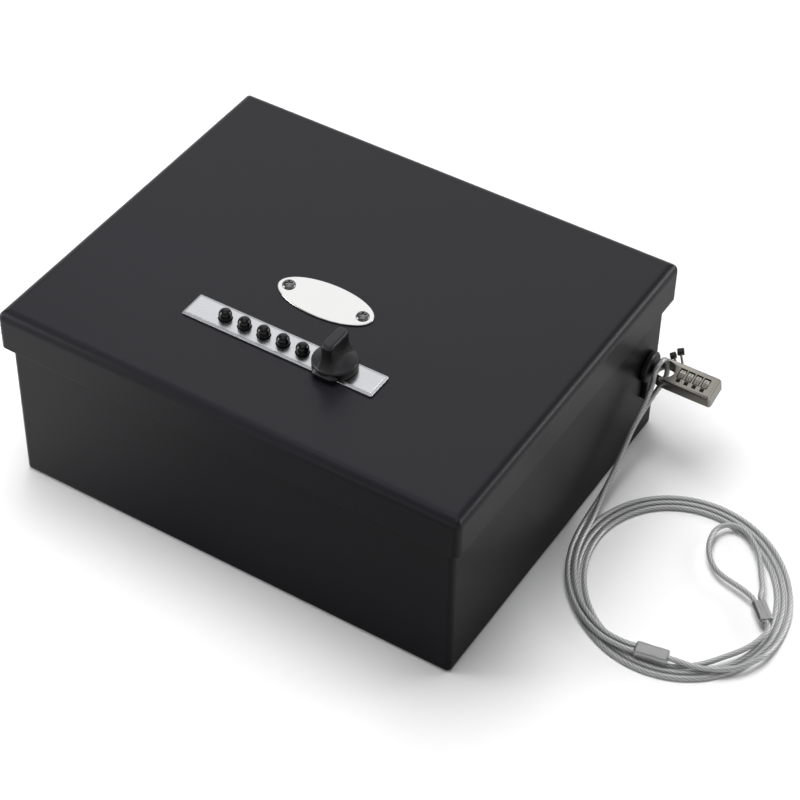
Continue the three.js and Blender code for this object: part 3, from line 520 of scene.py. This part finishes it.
def moved(mesh, move=(0, 0, 0), turn=None):
    """A mesh turned by a matrix and then moved, in its own points."""
    points = np.empty(len(mesh.vertices) * 3, np.float32)
    mesh.vertices.foreach_get("co", points)
    points = points.reshape(-1, 3).astype(float)
    if turn is not None:
        points = points @ np.asarray(turn).T
    mesh.vertices.foreach_set("co", (points + np.asarray(move)).astype(np.float32).ravel())
    mesh.update()
    return mesh


def tilt_x(angle):
    """The matrix of a turn about the X axis."""
    return np.array([[1, 0, 0], [0, cos(angle), -sin(angle)], [0, sin(angle), cos(angle)]])


def tilt_z(angle):
    """The matrix of a turn about the Z axis."""
    return np.array([[cos(angle), -sin(angle), 0], [sin(angle), cos(angle), 0], [0, 0, 1]])


def cylinder(radius, bottom, top, sides=32):
    """An upright cylinder, as a turned rectangle."""
    return turned([(0, bottom), (radius, bottom), (radius, top), (0, top)], sides)


def cut_out(mesh, tools):
    """A mesh less its tools, by an exact Boolean that is then applied."""
    cutter = joined(tools)
    body, tool = linked("blank", mesh), linked("tool", cutter)
    modifier = body.modifiers.new("cut", "BOOLEAN")
    modifier.object, modifier.operation, modifier.solver = tool, "DIFFERENCE", "EXACT"
    modifier.use_self = True
    made = applied(body)
    bpy.data.objects.remove(tool)
    for used in (mesh, cutter):
        bpy.data.meshes.remove(used)
    return made


def piece(name, mesh, body, slot, nodes=(), material=None, sharp=32):
    """A finished piece: smooth but for edges sharper than the angle, riding on its body, painted as its slot
    or with this material."""
    mesh.name = name
    made = linked(name, mesh)
    mesh.shade_smooth()
    mesh.set_sharp_from_angle(angle=radians(sharp))
    mesh.materials.clear()
    mesh.materials.append(bpy.data.materials[f"{material or slot}_finish"])
    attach(made, body)
    if nodes:
        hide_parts(*nodes)
    return made


def body_of(node):
    bodies = frame["record"]["behaviour"]["bodies"]
    return next(body for body, members in bodies.items() if node in members)


def slot_of(node):
    return next(part["material_slot"] for part in frame["record"]["subparts"] if part["node"] == node)


def softened(node, width, steps=2):
    """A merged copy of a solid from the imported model, with its sharp edges rounded."""
    mesh = frame["nodes"][node].data.copy()
    merge(mesh, flatten=True)
    made = piece(f"{node}_soft", mesh, body_of(node), slot_of(node), [node])
    bevel = made.modifiers.new("edges", "BEVEL")
    bevel.width, bevel.segments, bevel.limit_method = width, steps, "ANGLE"
    bevel.angle_limit, bevel.harden_normals, bevel.use_clamp_overlap = radians(38), True, True


# Stage: metres, and radians for the camera's turn

SENSOR_MM = 36
CAMERA_PLACE, CAMERA_TURN = (0.55919, -0.86571, 1.0217), (0.808292, -0.017974, 0.55768)
# Each lamp's place, the point that it faces, and its width and height
LAMPS = {
    "key": ((-0.1, 0.06, 1.3), (0, 0, 0.05), (0.9, 0.9)),
    "side": ((-0.75, -0.5, 0.38), (-0.15, -0.12, 0.07), (0.4, 0.5)),
    "back": ((0.95, 0.95, 0.5), (0.05, 0, 0.1), (0.7, 0.35)),
    "panel": ((-0.45, 1.05, 1.2), (0, 0, 0.12), (1.5, 1.0)),
}
FLOOR_HALF, FLOOR_NEAR, FLOOR_FAR = 3.0, 0.45, 1.1
POOL_MIDDLE_X, POOL_START, POOL_FULL = 0.05, 0.08, 0.26
WHITE, PALE, DIM = (1, 1, 1), (0.88, 0.88, 0.88), (0.3, 0.3, 0.3)


def area_light(name, place, target, extent, power, mirrored):
    """A soft lamp that faces a point, and that shiny surfaces show only if it is mirrored."""
    data = bpy.data.lights.new(name, "AREA")
    data.shape, data.size, data.size_y, data.energy = "RECTANGLE", *extent, power
    made = linked(name, data)
    made.location = place
    made.rotation_euler = (Vector(target) - made.location).to_track_quat("-Z", "Y").to_euler()
    made.visible_glossy = mirrored


class CARSAFE_OT_stage(Operator):
    """Make the camera, the soft lights and the white floor"""

    bl_idname = "car_safe.stage"
    bl_label = "Stage"

    def execute(self, context):
        scene, studio = context.scene, settings().studio
        make_finishes()
        data = bpy.data.cameras.new("camera")
        data.lens, data.sensor_width, data.sensor_fit = studio.lens, SENSOR_MM, "HORIZONTAL"
        camera = linked("camera", data)
        camera.location, camera.rotation_euler = CAMERA_PLACE, CAMERA_TURN
        for name, (place, target, extent) in LAMPS.items():
            area_light(name, place, target, extent, getattr(studio, name), mirrored=name != "key")
        scene.camera, scene.world = camera, self.world(studio)
        scene.view_settings.view_transform = "Standard"
        self.floor(studio)
        return {"FINISHED"}

    def world(self, studio):
        """White to the camera. Shiny surfaces show a white horizon, a darker ceiling and a bright patch
        straight above, and other light from all round is weak."""
        world = bpy.data.worlds.new("studio")
        world.use_nodes = True
        nodes = Nodes(world.node_tree)
        path = nodes.add("ShaderNodeLightPath").outputs
        up = nodes.split(nodes.add("ShaderNodeTexCoord").outputs["Generated"])[2]
        ceiling = nodes.ramp(up, 0.1, 0.45, 1.0, studio.ceiling)
        sky = nodes.math("MAXIMUM", ceiling, nodes.ramp(up, 0.82, 0.95, 0.0, studio.overhead))
        plain = nodes.between(nodes.seen(path), studio.ambient, 1.0)
        strength = nodes.add("ShaderNodeMix", {"Factor": path["Is Glossy Ray"], 2: plain, 3: sky}).outputs[0]
        background = world.node_tree.nodes["Background"].inputs
        nodes.fill(background["Strength"], strength)
        nodes.fill(background["Color"], rgba(WHITE))
        return world

    def floor(self, studio):
        """A square floor. Where it is seen directly, part of its white glows, so that its shadows stay soft,
        and all of it far from the safe, where the lamps no longer reach. Shiny walls show a pool of light on
        it at either side."""
        corners = [(x * FLOOR_HALF, y * FLOOR_HALF, 0) for x, y in ((-1, -1), (1, -1), (1, 1), (-1, 1))]
        mesh = bpy.data.meshes.new("floor")
        mesh.from_pydata(corners, [], [(0, 1, 2, 3)])
        made = linked("floor", mesh)
        material = bpy.data.materials.new("floor")
        material.use_nodes = True
        mesh.materials.append(material)
        nodes = Nodes(material.node_tree)
        path = nodes.add("ShaderNodeLightPath").outputs
        seen = nodes.seen(path)
        place = nodes.add("ShaderNodeTexCoord").outputs["Object"]
        away = nodes.add("ShaderNodeVectorMath", {0: place}, operation="LENGTH").outputs["Value"]
        aside = nodes.math("ABSOLUTE", nodes.math("SUBTRACT", nodes.split(place)[0], POOL_MIDDLE_X))
        glow = nodes.math("MULTIPLY", seen, nodes.ramp(away, FLOOR_NEAR, FLOOR_FAR, studio.floor_glow, 1.0))
        pool = nodes.ramp(aside, POOL_START, POOL_FULL, 0.0, studio.pool)
        values = {
            "Base Color": nodes.blend(seen, rgba(DIM), rgba(PALE)),
            "Emission Strength": nodes.math("ADD", glow, nodes.math("MULTIPLY", path["Is Glossy Ray"], pool)),
            "Emission Color": rgba(WHITE),
            "Specular IOR Level": 0.0,
            "Roughness": 0.9,
        }
        for socket, value in values.items():
            nodes.fill(material.node_tree.nodes["Principled BSDF"].inputs[socket], value)


# Cable


def travelled(line):
    """The distance along a line to each of its points."""
    return np.concatenate([[0], np.cumsum(np.linalg.norm(np.diff(line, axis=0), axis=1))])


def through(points, step):
    """Points a step apart on the centripetal Catmull-Rom curve through these points: on each span a cubic
    whose slopes come from its neighbours, weighed by the roots of their distances."""
    p = np.vstack([2 * points[0] - points[1], points, 2 * points[-1] - points[-2]])
    gap = np.sqrt(np.linalg.norm(np.diff(p, axis=0), axis=1))[:, None]
    before, span, after = gap[:-2], gap[1:-1], gap[2:]
    p0, p1, p2, p3 = p[:-3], p[1:-2], p[2:-1], p[3:]
    start = ((p1 - p0) / before - (p2 - p0) / (before + span) + (p2 - p1) / span) * span
    end = ((p2 - p1) / span - (p3 - p1) / (span + after) + (p3 - p2) / after) * span
    t = np.linspace(0, 1, 24, endpoint=False)[None, :, None]
    cubic = ((2 * t**3 - 3 * t**2 + 1) * p1[:, None] + (t**3 - 2 * t**2 + t) * start[:, None]
             + (3 * t**2 - 2 * t**3) * p2[:, None] + (t**3 - t**2) * end[:, None])
    line = np.vstack([cubic.reshape(-1, 3), points[-1:]])
    reached = travelled(line)
    wanted = np.linspace(0, reached[-1], ceil(reached[-1] / step) + 1)
    return np.stack([np.interp(wanted, reached, line[:, axis]) for axis in range(3)], -1)


def smooth_step(value, low, high):
    """Nought up to low and one from high on, with three squares less two cubes of the share between."""
    t = np.clip((value - low) / (high - low), 0, 1)
    return t * t * (3 - 2 * t)


def on_sleeve(sleeve, distance, aside=0.0):
    """A point on a sleeve's axis, or this far to its left."""
    return np.array(sleeve["place"]) + tilt_z(sleeve["turn"]) @ np.array([distance, aside, 0])


def coil_route(cable):
    """The coil's route: it leaves the large sleeve over the other turns, crosses outwards, drops to the
    floor, winds inwards by the pitch for each turn on an oval ring, and climbs to the small sleeve."""
    angle = np.arange(COIL_START + COIL_STEP / 2, COIL_END + 0.001, COIL_STEP)
    turn = np.radians(angle)
    oval = COIL_OVAL * np.cos(2 * (turn - COIL_OVAL_TURN))
    ring = cable.coil_radius - cable.coil_pitch * (angle - COIL_START) / 360 + oval
    after, before = (angle - COIL_START) / COIL_STEP, (COIL_END - angle) / COIL_STEP
    crossing, leaving = 1 - smooth_step(after, -1, 2.5), 1 - smooth_step(before, 0, 2.4)
    settled = np.minimum(smooth_step(after, 2, 4), smooth_step(before, 2.2, 4.2))
    radius = ring + crossing * (cable.coil_radius * 0.87 - ring) + leaving * 0.004
    winding = np.stack([COIL_X + radius * np.cos(turn), COIL_Y + radius * np.sin(turn),
                        COIL_FLOOR + COIL_RISE * (1 - settled)], -1)
    start, end = LARGE_SLEEVE["length"] / 2 + SLEEVE_GAP, -(SMALL_SLEEVE["length"] / 2 + SLEEVE_GAP)
    return np.vstack([
        on_sleeve(LARGE_SLEEVE, start), on_sleeve(LARGE_SLEEVE, start + cable.diameter), winding,
        on_sleeve(SMALL_SLEEVE, end - cable.diameter), on_sleeve(SMALL_SLEEVE, end)])


def rope(line, cable, sides=24):
    """A rope's surface along a line: circles square to it, drawn in a little between the strands, which wind
    round once in each lay. The circles' frames lean from level on the floor to sideways on rising legs."""
    tangent = np.gradient(line, axis=0)
    tangent /= np.linalg.norm(tangent, axis=1)[:, None]
    rise = smooth_step(line[:, 2], 0.007, 0.03)[:, None]
    leaning = (1 - rise) * np.array([0, 0, 1.0]) + rise * np.array([1.0, 0, 0])
    across = np.cross(leaning, tangent)
    across /= np.linalg.norm(across, axis=1)[:, None]
    above = np.cross(tangent, across)
    along, angle = travelled(line), around(sides)
    strands = np.abs(np.sin(STRANDS / 2 * (angle - tau * along[:, None] / cable.lay)))
    radius = (cable.diameter / 2 * (0.965 + 0.035 * strands))[..., None]
    ring = np.cos(angle)[..., None] * across[:, None] + np.sin(angle)[..., None] * above[:, None]
    return grid_mesh(line[:, None] + radius * ring, along=along)


def sleeve_mesh(sleeve, waist_depth, power):
    """A pressed sleeve round two strands: a rounded oblong section whose corners follow a power of sine and
    cosine, with a waist between the strands, rounded at both ends, and pressed in a little at the middle."""
    angle = around(48)
    t = np.linspace(-1, 1, 49)[:, None]
    wide = sleeve["width"] / 2 * squared(np.cos(angle), power)
    waist = 1 - waist_depth * np.exp(-((wide / (0.16 * sleeve["width"])) ** 2))
    tall = sleeve["thick"] / 2 * squared(np.sin(angle), power) * waist
    pressed = 0.035 * np.clip(np.cos(pi * t), 0, 1) ** 2
    end = 0.1 * np.clip((np.abs(t) - 0.88) / 0.12, 0, 1) ** 2
    scale = (1 - pressed) * (1 - end)
    mesh = grid_mesh(grid_of(sleeve["length"] / 2 * t, wide * scale, tall * scale))
    return moved(mesh, sleeve["place"], tilt_z(sleeve["turn"]))


class CARSAFE_OT_cable(Operator):
    """Lay the coated steel cable: large eye, coil and small eye, with both pressed sleeves"""

    bl_idname = "car_safe.cable"
    bl_label = "Cable"

    def execute(self, context):
        cable = settings().cable
        large = self.sleeve("large", sleeve_mesh(LARGE_SLEEVE, waist_depth=0.03, power=0.62))
        small = self.sleeve("small", sleeve_mesh(SMALL_SLEEVE, waist_depth=0.32, power=0.85))
        routes = (
            ("large_eye", np.array(LARGE_EYE_MM) / 1000, "loose", large),
            ("coil", coil_route(cable), "coiled", small),
            ("small_eye", np.array(SMALL_EYE_MM) / 1000, "loose", self.cut_end()),
        )
        for name, route, lay, end in routes:
            line = through(route, cable.ring_step)
            mesh, node = rope(line, cable), f"cable_{name}"
            made = piece(f"steel_{node}", mesh, "case", "coated_cable", [node], sharp=60)
        return {"FINISHED"}

    def sleeve(self, name, mesh):
        """A finished pressed sleeve, in the place of its solid."""
        return piece(f"{name}_sleeve", mesh, "case", "aluminium_sleeve", [f"cable_{name}_sleeve"])

    def cut_end(self, radius=0.00155, sunk=0.0005, out=0.0014, chamfer=0.0003, aside=0.0021):
        """The small eye's second strand, cut off just past its sleeve."""
        profile = [(0, -sunk), (radius, -sunk), (radius, out - chamfer), (radius - chamfer, out), (0, out)]
        lying = np.array([[0, 0, -1], [1, 0, 0], [0, -1, 0]])
        place = on_sleeve(SMALL_SLEEVE, -SMALL_SLEEVE["length"] / 2, aside)
        mesh = moved(turned(profile), place, tilt_z(SMALL_SLEEVE["turn"]) @ lying)
        return piece("cable_cut_end", mesh, "case", "coated_cable", material="aluminium_sleeve")


# Case and lid: the inset of the innermost loop on a flat face, and of points beside the bends

FLAT_INSET, BESIDE, NEAR_BESIDE = 0.03, 0.0005, 0.0004


class CARSAFE_OT_case(Operator):
    """Fold the case: a basin with an inward lip, and the slot for the dial lock"""

    bl_idname = "car_safe.case"
    bl_label = "Case"

    def execute(self, context):
        case, sheet = settings().case, settings().lid.sheet
        lip_end, rim, bend, fold = sheet + case.lip, case.rim, case.bend, case.rim_bend
        outside = np.vstack([
            [(FLAT_INSET, 0), (bend + BESIDE, 0)],
            arc_points((bend, bend), bend, 270, 180),
            [(0, bend + BESIDE), (0, rim - fold - BESIDE)],
            arc_points((fold, rim - fold), fold, 180, 90),
            [(fold + NEAR_BESIDE, rim), (lip_end - BESIDE, rim)],
            arc_points((lip_end - sheet / 2, rim - sheet / 2), sheet / 2, 90, -90),
        ])
        inside = np.vstack([
            [(fold + NEAR_BESIDE, rim - sheet)],
            arc_points((fold, rim - fold), fold - sheet, 90, 180),
            [(sheet, rim - fold - BESIDE), (sheet, bend + BESIDE)],
            arc_points((bend, bend), bend - sheet, 180, 270),
            [(bend + BESIDE, sheet), (FLAT_INSET, sheet)],
        ])
        profile = np.vstack([outside, inside])
        radius = np.concatenate([
            mitred(outside[:, 0], case.corner), mitred(inside[:, 0] - sheet, case.corner - sheet)])
        grid = loops(profile, case.width / 2, case.depth / 2, radius)
        slot = slab(half_x=0.005, half_y=0.0037, bottom=-0.0017, top=0.0017, edge=0.0002, corner=0.0004)
        mesh = cut_out(grid_mesh(grid), [at_lock(slot)])
        piece("folded_case", mesh, "case", "powder_coat", ["case_shell"])
        return {"FINISHED"}


def holes(radius, xs, y, bottom, top):
    """Cutters for a row of round holes."""
    return [moved(cylinder(radius, bottom, top), (x, y, 0)) for x in xs]


def lock_holes(plate, bottom, top, clearance=0.0004):
    """Cutters for the push buttons' barrels and the knob's spindle."""
    xs = [FIRST_BUTTON_X + i * plate.button_pitch for i in range(BUTTON_COUNT)]
    buttons = holes(plate.button_radius + clearance, xs, LOCK_Y, bottom, top)
    return [*buttons, *holes(SPINDLE_RADIUS + clearance, [KNOB_X], LOCK_Y, bottom, top)]


class CARSAFE_OT_lid(Operator):
    """Press the lid: a flat top bent over into a skirt"""

    bl_idname = "car_safe.lid"
    bl_label = "Lid"

    def execute(self, context):
        lid, badge = settings().lid, settings().badge
        top, bend, sheet, hem = lid.top, lid.bend, lid.sheet, 0.00035
        hem_z, hem_end = top - lid.skirt + hem, top - lid.skirt + hem + 0.0003
        inside = np.vstack([
            [(FLAT_INSET, top - sheet), (bend + BESIDE, top - sheet)],
            arc_points((bend, top - bend), bend - sheet, 90, 180, 10),
            [(sheet, top - bend - BESIDE), (sheet, hem_end)],
        ])
        edge = np.vstack([
            arc_points((sheet - hem, hem_z), hem, 0, -90, 3), arc_points((hem, hem_z), hem, -90, -180, 3)])
        outside = np.vstack([
            [(0, hem_end), (0, top - bend - BESIDE)],
            arc_points((bend, top - bend), bend, 180, 90, 10),
            [(bend + BESIDE, top), (FLAT_INSET, top)],
        ])
        profile = np.vstack([inside, edge, outside])
        radius = np.concatenate([
            mitred(inside[:, 0] - sheet, lid.corner - sheet), lid.corner - edge[:, 0],
            mitred(outside[:, 0], lid.corner)])
        grid = loops(profile, lid.width / 2, lid.depth / 2, radius, steps=8)
        bottom, above = top - 0.004, top + 0.002
        screw_xs = [BADGE_X + side * badge.screw_spacing / 2 for side in (-1, 1)]
        shanks = holes(0.0016, screw_xs, BADGE_Y, bottom, above)
        mesh = cut_out(grid_mesh(grid), [*lock_holes(settings().plate, bottom, above), *shanks])
        piece("pressed_lid", mesh, "lid", "powder_coat", ["lid_shell"])
        return {"FINISHED"}


# Lock face, badge, buttons and knob


class CARSAFE_OT_face_plate(Operator):
    """Make the brushed face plate with its bevelled border and its holes"""

    bl_idname = "car_safe.face_plate"
    bl_label = "Face plate"

    def execute(self, context):
        plate = settings().plate
        bottom, top, border = PLATE_TOP - plate.thickness, PLATE_TOP, plate.border
        # The border rises from a rounded edge, a fine groove ends it, and the face is level behind that
        profile = np.array([
            (0.0002, bottom), (0, bottom + 0.0002), (0, top - 0.00055), (0.0001, top - 0.0004),
            (border - 0.0002, top - 0.00006), (border, top - 0.00012), (border + 0.0002, top - 0.00014),
            (border + 0.00035, top), (border + 0.0008, top),
        ])
        radius = np.maximum(0.0012 - profile[:, 0], 0.0002)
        grid = loops(profile, plate.length / 2, plate.depth / 2, radius, 5, 0.0001)
        mesh = moved(grid_mesh(grid), (PLATE_X, LOCK_Y, 0))
        mesh = cut_out(mesh, lock_holes(plate, bottom - 0.001, top + 0.001))
        piece("bevelled_plate", mesh, "lid", "brushed_plate", ["lock_face_plate"], sharp=12)
        return {"FINISHED"}


class CARSAFE_OT_badge(Operator):
    """Make the bare oval badge and its two cross-headed screws"""

    bl_idname = "car_safe.badge"
    bl_label = "Badge"

    def execute(self, context):
        badge = settings().badge
        inset = np.array([0.0004, 0, 0, 0.00005, 0.0002, 0.00045, 0.0006, 0.006])[:, None]
        level_shares = np.array([0, 0.3, 0.6, 0.8, 0.93, 0.99, 1, 1])[:, None]
        x = BADGE_X + (badge.length / 2 - inset) * np.cos(around(96))
        y = BADGE_Y + (badge.depth / 2 - inset) * np.sin(around(96))
        mesh = grid_mesh(grid_of(x, y, BADGE_Z + level_shares * badge.thickness))
        piece("oval_badge", mesh, "lid", "polished_steel", ["badge_plate"], sharp=50)
        for side, name in ((-1, "left"), (1, "right")):
            self.screw(badge, BADGE_X + side * badge.screw_spacing / 2, name)
        return {"FINISHED"}

    def screw(self, badge, x, name, shank=0.0014, length=0.0027, point=0.0002):
        """A shank below a domed head: the dome is a flattened quarter circle over a low rim. A cross is sunk
        in it."""
        t = np.radians(np.linspace(0, 90, 13))
        head, face = badge.screw_radius, badge.thickness + 0.0001
        dome = [(head - 0.0002) * np.cos(t), face + badge.screw_height * (0.25 + 0.75 * np.sin(t))]
        profile = np.vstack([
            [(0, -length), (shank - point, -length), (shank, point * 1.5 - length), (shank, 0.001)],
            [(head, face), (head, face + 0.0002)], np.stack(dome, -1)])
        top = badge.thickness + badge.screw_height
        arms = [
            moved(slab(0.0023, 0.00055, top - 0.0012, top + 0.001, 0.0001, 0.0002), turn=tilt_z(turn))
            for turn in (radians(28), radians(118))
        ]
        mesh = moved(cut_out(turned(profile), arms), (x, BADGE_Y, BADGE_Z))
        piece(f"badge_{name}_screw", mesh, "lid", "polished_steel", [f"badge_screw_{name}"], "screw_steel")


class CARSAFE_OT_buttons(Operator):
    """Turn the five glossy push buttons"""

    bl_idname = "car_safe.buttons"
    bl_label = "Push buttons"

    def execute(self, context):
        plate = settings().plate
        low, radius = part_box("push_button_1")[0].z, plate.button_radius
        pin, barrel, shoulder = 0.0019, PLATE_TOP - 0.004, PLATE_TOP + 0.42 * plate.button_height
        t = np.radians(np.linspace(0, 90, 15))
        rise = PLATE_TOP + plate.button_height - shoulder
        profile = np.vstack([
            [(0, low), (pin - 0.0003, low), (pin, low + 0.0003), (pin, barrel)],
            [(radius - 0.0002, barrel), (radius, barrel + 0.0002), (radius, shoulder - 0.0003)],
            np.stack([radius * np.cos(t) ** 0.85, shoulder + rise * np.sin(t)], -1)])
        for i in range(BUTTON_COUNT):
            node = f"push_button_{i + 1}"
            mesh = moved(turned(profile, 64), (FIRST_BUTTON_X + i * plate.button_pitch, LOCK_Y, 0))
            piece(f"button_{i + 1}", mesh, node, "gloss_black", [node], sharp=50)
        return {"FINISHED"}


class CARSAFE_OT_knob(Operator):
    """Shape the knob: a round base with a sloping shoulder, and a straight grip with hollow sides"""

    bl_idname = "car_safe.knob"
    bl_label = "Knob"

    def execute(self, context):
        plate = settings().plate
        radius = plate.knob_radius
        base = np.vstack([
            [(0, 0), (radius - 0.0009, 0), (radius - 0.0003, 0.0002), (radius, 0.0009), (radius, 0.0044)],
            arc_points((radius - 0.0014, 0.0044), 0.0014, 15, 75, 4),
            [(radius * 0.8, 0.0068), (radius * 0.6, 0.0084), (radius * 0.45, 0.0094), (0, 0.0096)]])
        grip = moved(self.grip(plate), (0, 0, 0.002))
        mesh = moved(joined([turned(base, 72), grip]), (KNOB_X, LOCK_Y, KNOB_Z))
        piece("turn_knob", mesh, "knob", "black_plastic", ["knob"], sharp=40)
        return {"FINISHED"}

    def grip(self, plate, crown_start=0.88, power=0.42):
        """The grip's level outlines are squared ellipses. Their half length and half width shrink from the
        foot to a waist and hold to the top, where both are drawn in along a quarter circle."""
        height, crown_share = plate.knob_height - 0.002, 1 - crown_start
        crown_rows = crown_start + crown_share * np.sin(np.radians(np.linspace(8, 90, 9)))
        t = np.concatenate([np.linspace(0, crown_start, 22), crown_rows])[:, None]
        flare = (1 - np.clip(t / 0.7, 0, 1)) ** 2
        reach = np.clip(t - crown_start, 0, 1) / crown_share
        crown = 1 - np.sqrt(np.clip(1 - reach**2, 0, 1))
        half_y = plate.grip_length / 2 + 0.0036 * flare - 0.0026 * crown
        half_x = plate.grip_width / 2 + 0.0052 * flare - 0.0017 * crown
        x = half_x * squared(np.cos(around(64)), power)
        y = half_y * squared(np.sin(around(64)), power)
        return grid_mesh(grid_of(x, y, t * height))


# Anchor and dial lock


def at_lock(mesh):
    """From the dial lock's own frame, out from the wall, across and out of the dial face, to the safe's."""
    return moved(mesh, (WALL_X, ANCHOR_Y, ANCHOR_Z), tilt_x(LOCK_TILT))


class CARSAFE_OT_anchor(Operator):
    """Finish the collar with its hanging tab, and the plate behind the wall"""

    bl_idname = "car_safe.anchor"
    bl_label = "Anchor"

    def execute(self, context):
        softened("anchor_collar", 0.0005, 3)
        softened("anchor_back_plate", 0.0002)
        return {"FINISHED"}


def digit_mesh(text, height):
    """One digit as a flat raised shape, centred on its origin."""
    curve = bpy.data.curves.new("digit", "FONT")
    curve.body, curve.size, curve.extrude = text, height, 0.00004
    curve.align_x, curve.align_y = "CENTER", "CENTER"
    made = applied(linked("digit", curve))
    bpy.data.curves.remove(curve)
    merge(made)
    return made


class CARSAFE_OT_dial_lock(Operator):
    """Finish the dial lock: body, end cap, dials with plain digits, index marks and two leaning buttons"""

    bl_idname = "car_safe.dial_lock"
    bl_label = "Dial lock"

    def execute(self, context):
        dials = settings().dials
        softened("dial_lock_body", 0.0003, 2)
        softened("dial_lock_end_cap", 0.0004, 3)
        for node in ("release_stem", "code_set_stem", "lock_bar", "dial_shaft"):
            softened(node, 0.0001)
        for node in ("release_button", "code_set_button"):
            softened(node, 0.0005, 3)
        for i in range(DIAL_COUNT):
            self.dial(dials, i)
            self.mark(dials, i)
        return {"FINISHED"}

    def dial(self, dials, i, flats=10, bore=0.0013, rim=0.0003, rim_depth=0.0004, ink=0.00002):
        """A wheel with flats: rows along its axis are regular outlines drawn in at both rims, with a digit on
        each flat, and the flat of the first digit faces out of the window."""
        half, outer = dials.width / 2, dials.radius
        along = np.array([-half, -half, rim - half, half - rim, half, half])[:, None]
        radius = np.array([bore, outer - rim_depth, outer, outer, outer - rim_depth, bore])[:, None]
        angle = (np.arange(flats) + 0.5)[None] * tau / flats
        wheel = grid_mesh(grid_of(along, radius * np.cos(angle), radius * np.sin(angle)), capped=False)
        centre, node = (FIRST_DIAL_U + i * dials.pitch, DIAL_BACK, DIAL_LIFT), f"dial_{i + 1}"
        piece(f"dial_wheel_{i + 1}", at_lock(moved(wheel, centre)), node, "nickel", [node])
        digits = []
        for number in range(flats):
            digit = digit_mesh(str((number + 3 * i + 1) % flats), dials.digit)
            moved(digit, (0, 0, outer * cos(pi / flats) + ink))
            digits.append(moved(digit, turn=tilt_x(-tau * number / flats)))
        mesh = at_lock(moved(joined(digits), centre))
        piece(f"dial_digits_{i + 1}", mesh, node, "nickel", material="dial_ink")

    def mark(self, dials, i, bottom=0.00495, top=0.0051, in_front=0.0042):
        """A small square index mark on the body in front of each window."""
        half = dials.mark / 2
        mesh = moved(slab(half, half, bottom, top, 0.00005, 0.00015),
                     (FIRST_DIAL_U + i * dials.pitch, -in_front, 0))
        piece(f"index_mark_{i + 1}", at_lock(mesh), "case", "nickel", material="dial_ink")


# Liners, hinge and lock works


class CARSAFE_OT_liners(Operator):
    """Make the two foam liners"""

    bl_idname = "car_safe.liners"
    bl_label = "Foam liners"

    def execute(self, context):
        for node, name in (("case_floor_pad", "floor_foam"), ("lid_pad", "lid_foam")):
            low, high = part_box(node)
            half_x, half_y = (high.x - low.x) / 2, (high.y - low.y) / 2
            mesh = slab(half_x, half_y, low.z, high.z, 0.0016, 0.006, 6)
            moved(mesh, ((low.x + high.x) / 2, (low.y + high.y) / 2, 0))
            made = piece(name, mesh, body_of(node), "foam", [node])
        return {"FINISHED"}


class CARSAFE_OT_metalwork(Operator):
    """Round the edges of the hinge, the strike and the lock's inside parts"""

    bl_idname = "car_safe.metalwork"
    bl_label = "Hinge and lock works"

    def execute(self, context):
        screws = [f"lock_case_screw_{i + 1}" for i in range(4)]
        for node in ("hinge_case_leaf", "hinge_lid_leaf", "hinge_pin", "strike_bracket", "lock_case",
                     "lock_case_cover", "code_chamber", "knob_spindle", "latch_cam", "spindle_clip",
                     "latch_bolt", *screws):
            softened(node, 0.0002)
        return {"FINISHED"}


class CARSAFE_PT_panel(Panel):
    """The safe's operators and settings"""

    bl_idname = "CARSAFE_PT_panel"
    bl_label = "Car Safe"
    bl_space_type = "VIEW_3D"
    bl_region_type = "UI"
    bl_category = "Car Safe"

    def draw(self, context):
        for operator in OPERATORS:
            self.layout.operator(operator.bl_idname)
        safe = context.scene.car_safe
        for key in safe.bl_rna.properties.keys():
            if key not in ("rna_type", "name"):
                self.draw_group(getattr(safe, key))

    def draw_group(self, group):
        box = self.layout.box()
        for key in group.bl_rna.properties.keys():
            if key not in ("rna_type", "name"):
                box.prop(group, key)


OPERATORS = (
    CARSAFE_OT_stage, CARSAFE_OT_cable, CARSAFE_OT_case, CARSAFE_OT_lid, CARSAFE_OT_face_plate,
    CARSAFE_OT_badge, CARSAFE_OT_buttons, CARSAFE_OT_knob, CARSAFE_OT_anchor, CARSAFE_OT_dial_lock,
    CARSAFE_OT_liners, CARSAFE_OT_metalwork,
)  # fmt: skip
GROUPS = (
    CaseSizes, LidSizes, PlateSizes, BadgeSizes, DialSizes, CableSizes, SafeColours, StudioSettings, CarSafe,
)  # fmt: skip


def register():
    for item in (*GROUPS, *OPERATORS, CARSAFE_PT_panel):
        bpy.utils.register_class(item)
    bpy.types.Scene.car_safe = PointerProperty(type=CarSafe)


def unregister():
    del bpy.types.Scene.car_safe
    for item in reversed((*GROUPS, *OPERATORS, CARSAFE_PT_panel)):
        bpy.utils.unregister_class(item)


def main():
    register()
    bpy.ops.car_safe.stage()
    bpy.ops.car_safe.cable()
    bpy.ops.car_safe.case()
    bpy.ops.car_safe.lid()
    bpy.ops.car_safe.face_plate()
    bpy.ops.car_safe.badge()
    bpy.ops.car_safe.buttons()
    bpy.ops.car_safe.knob()
    bpy.ops.car_safe.anchor()
    bpy.ops.car_safe.dial_lock()
    bpy.ops.car_safe.liners()
    bpy.ops.car_safe.metalwork()


if __name__ == "__main__":
    main()
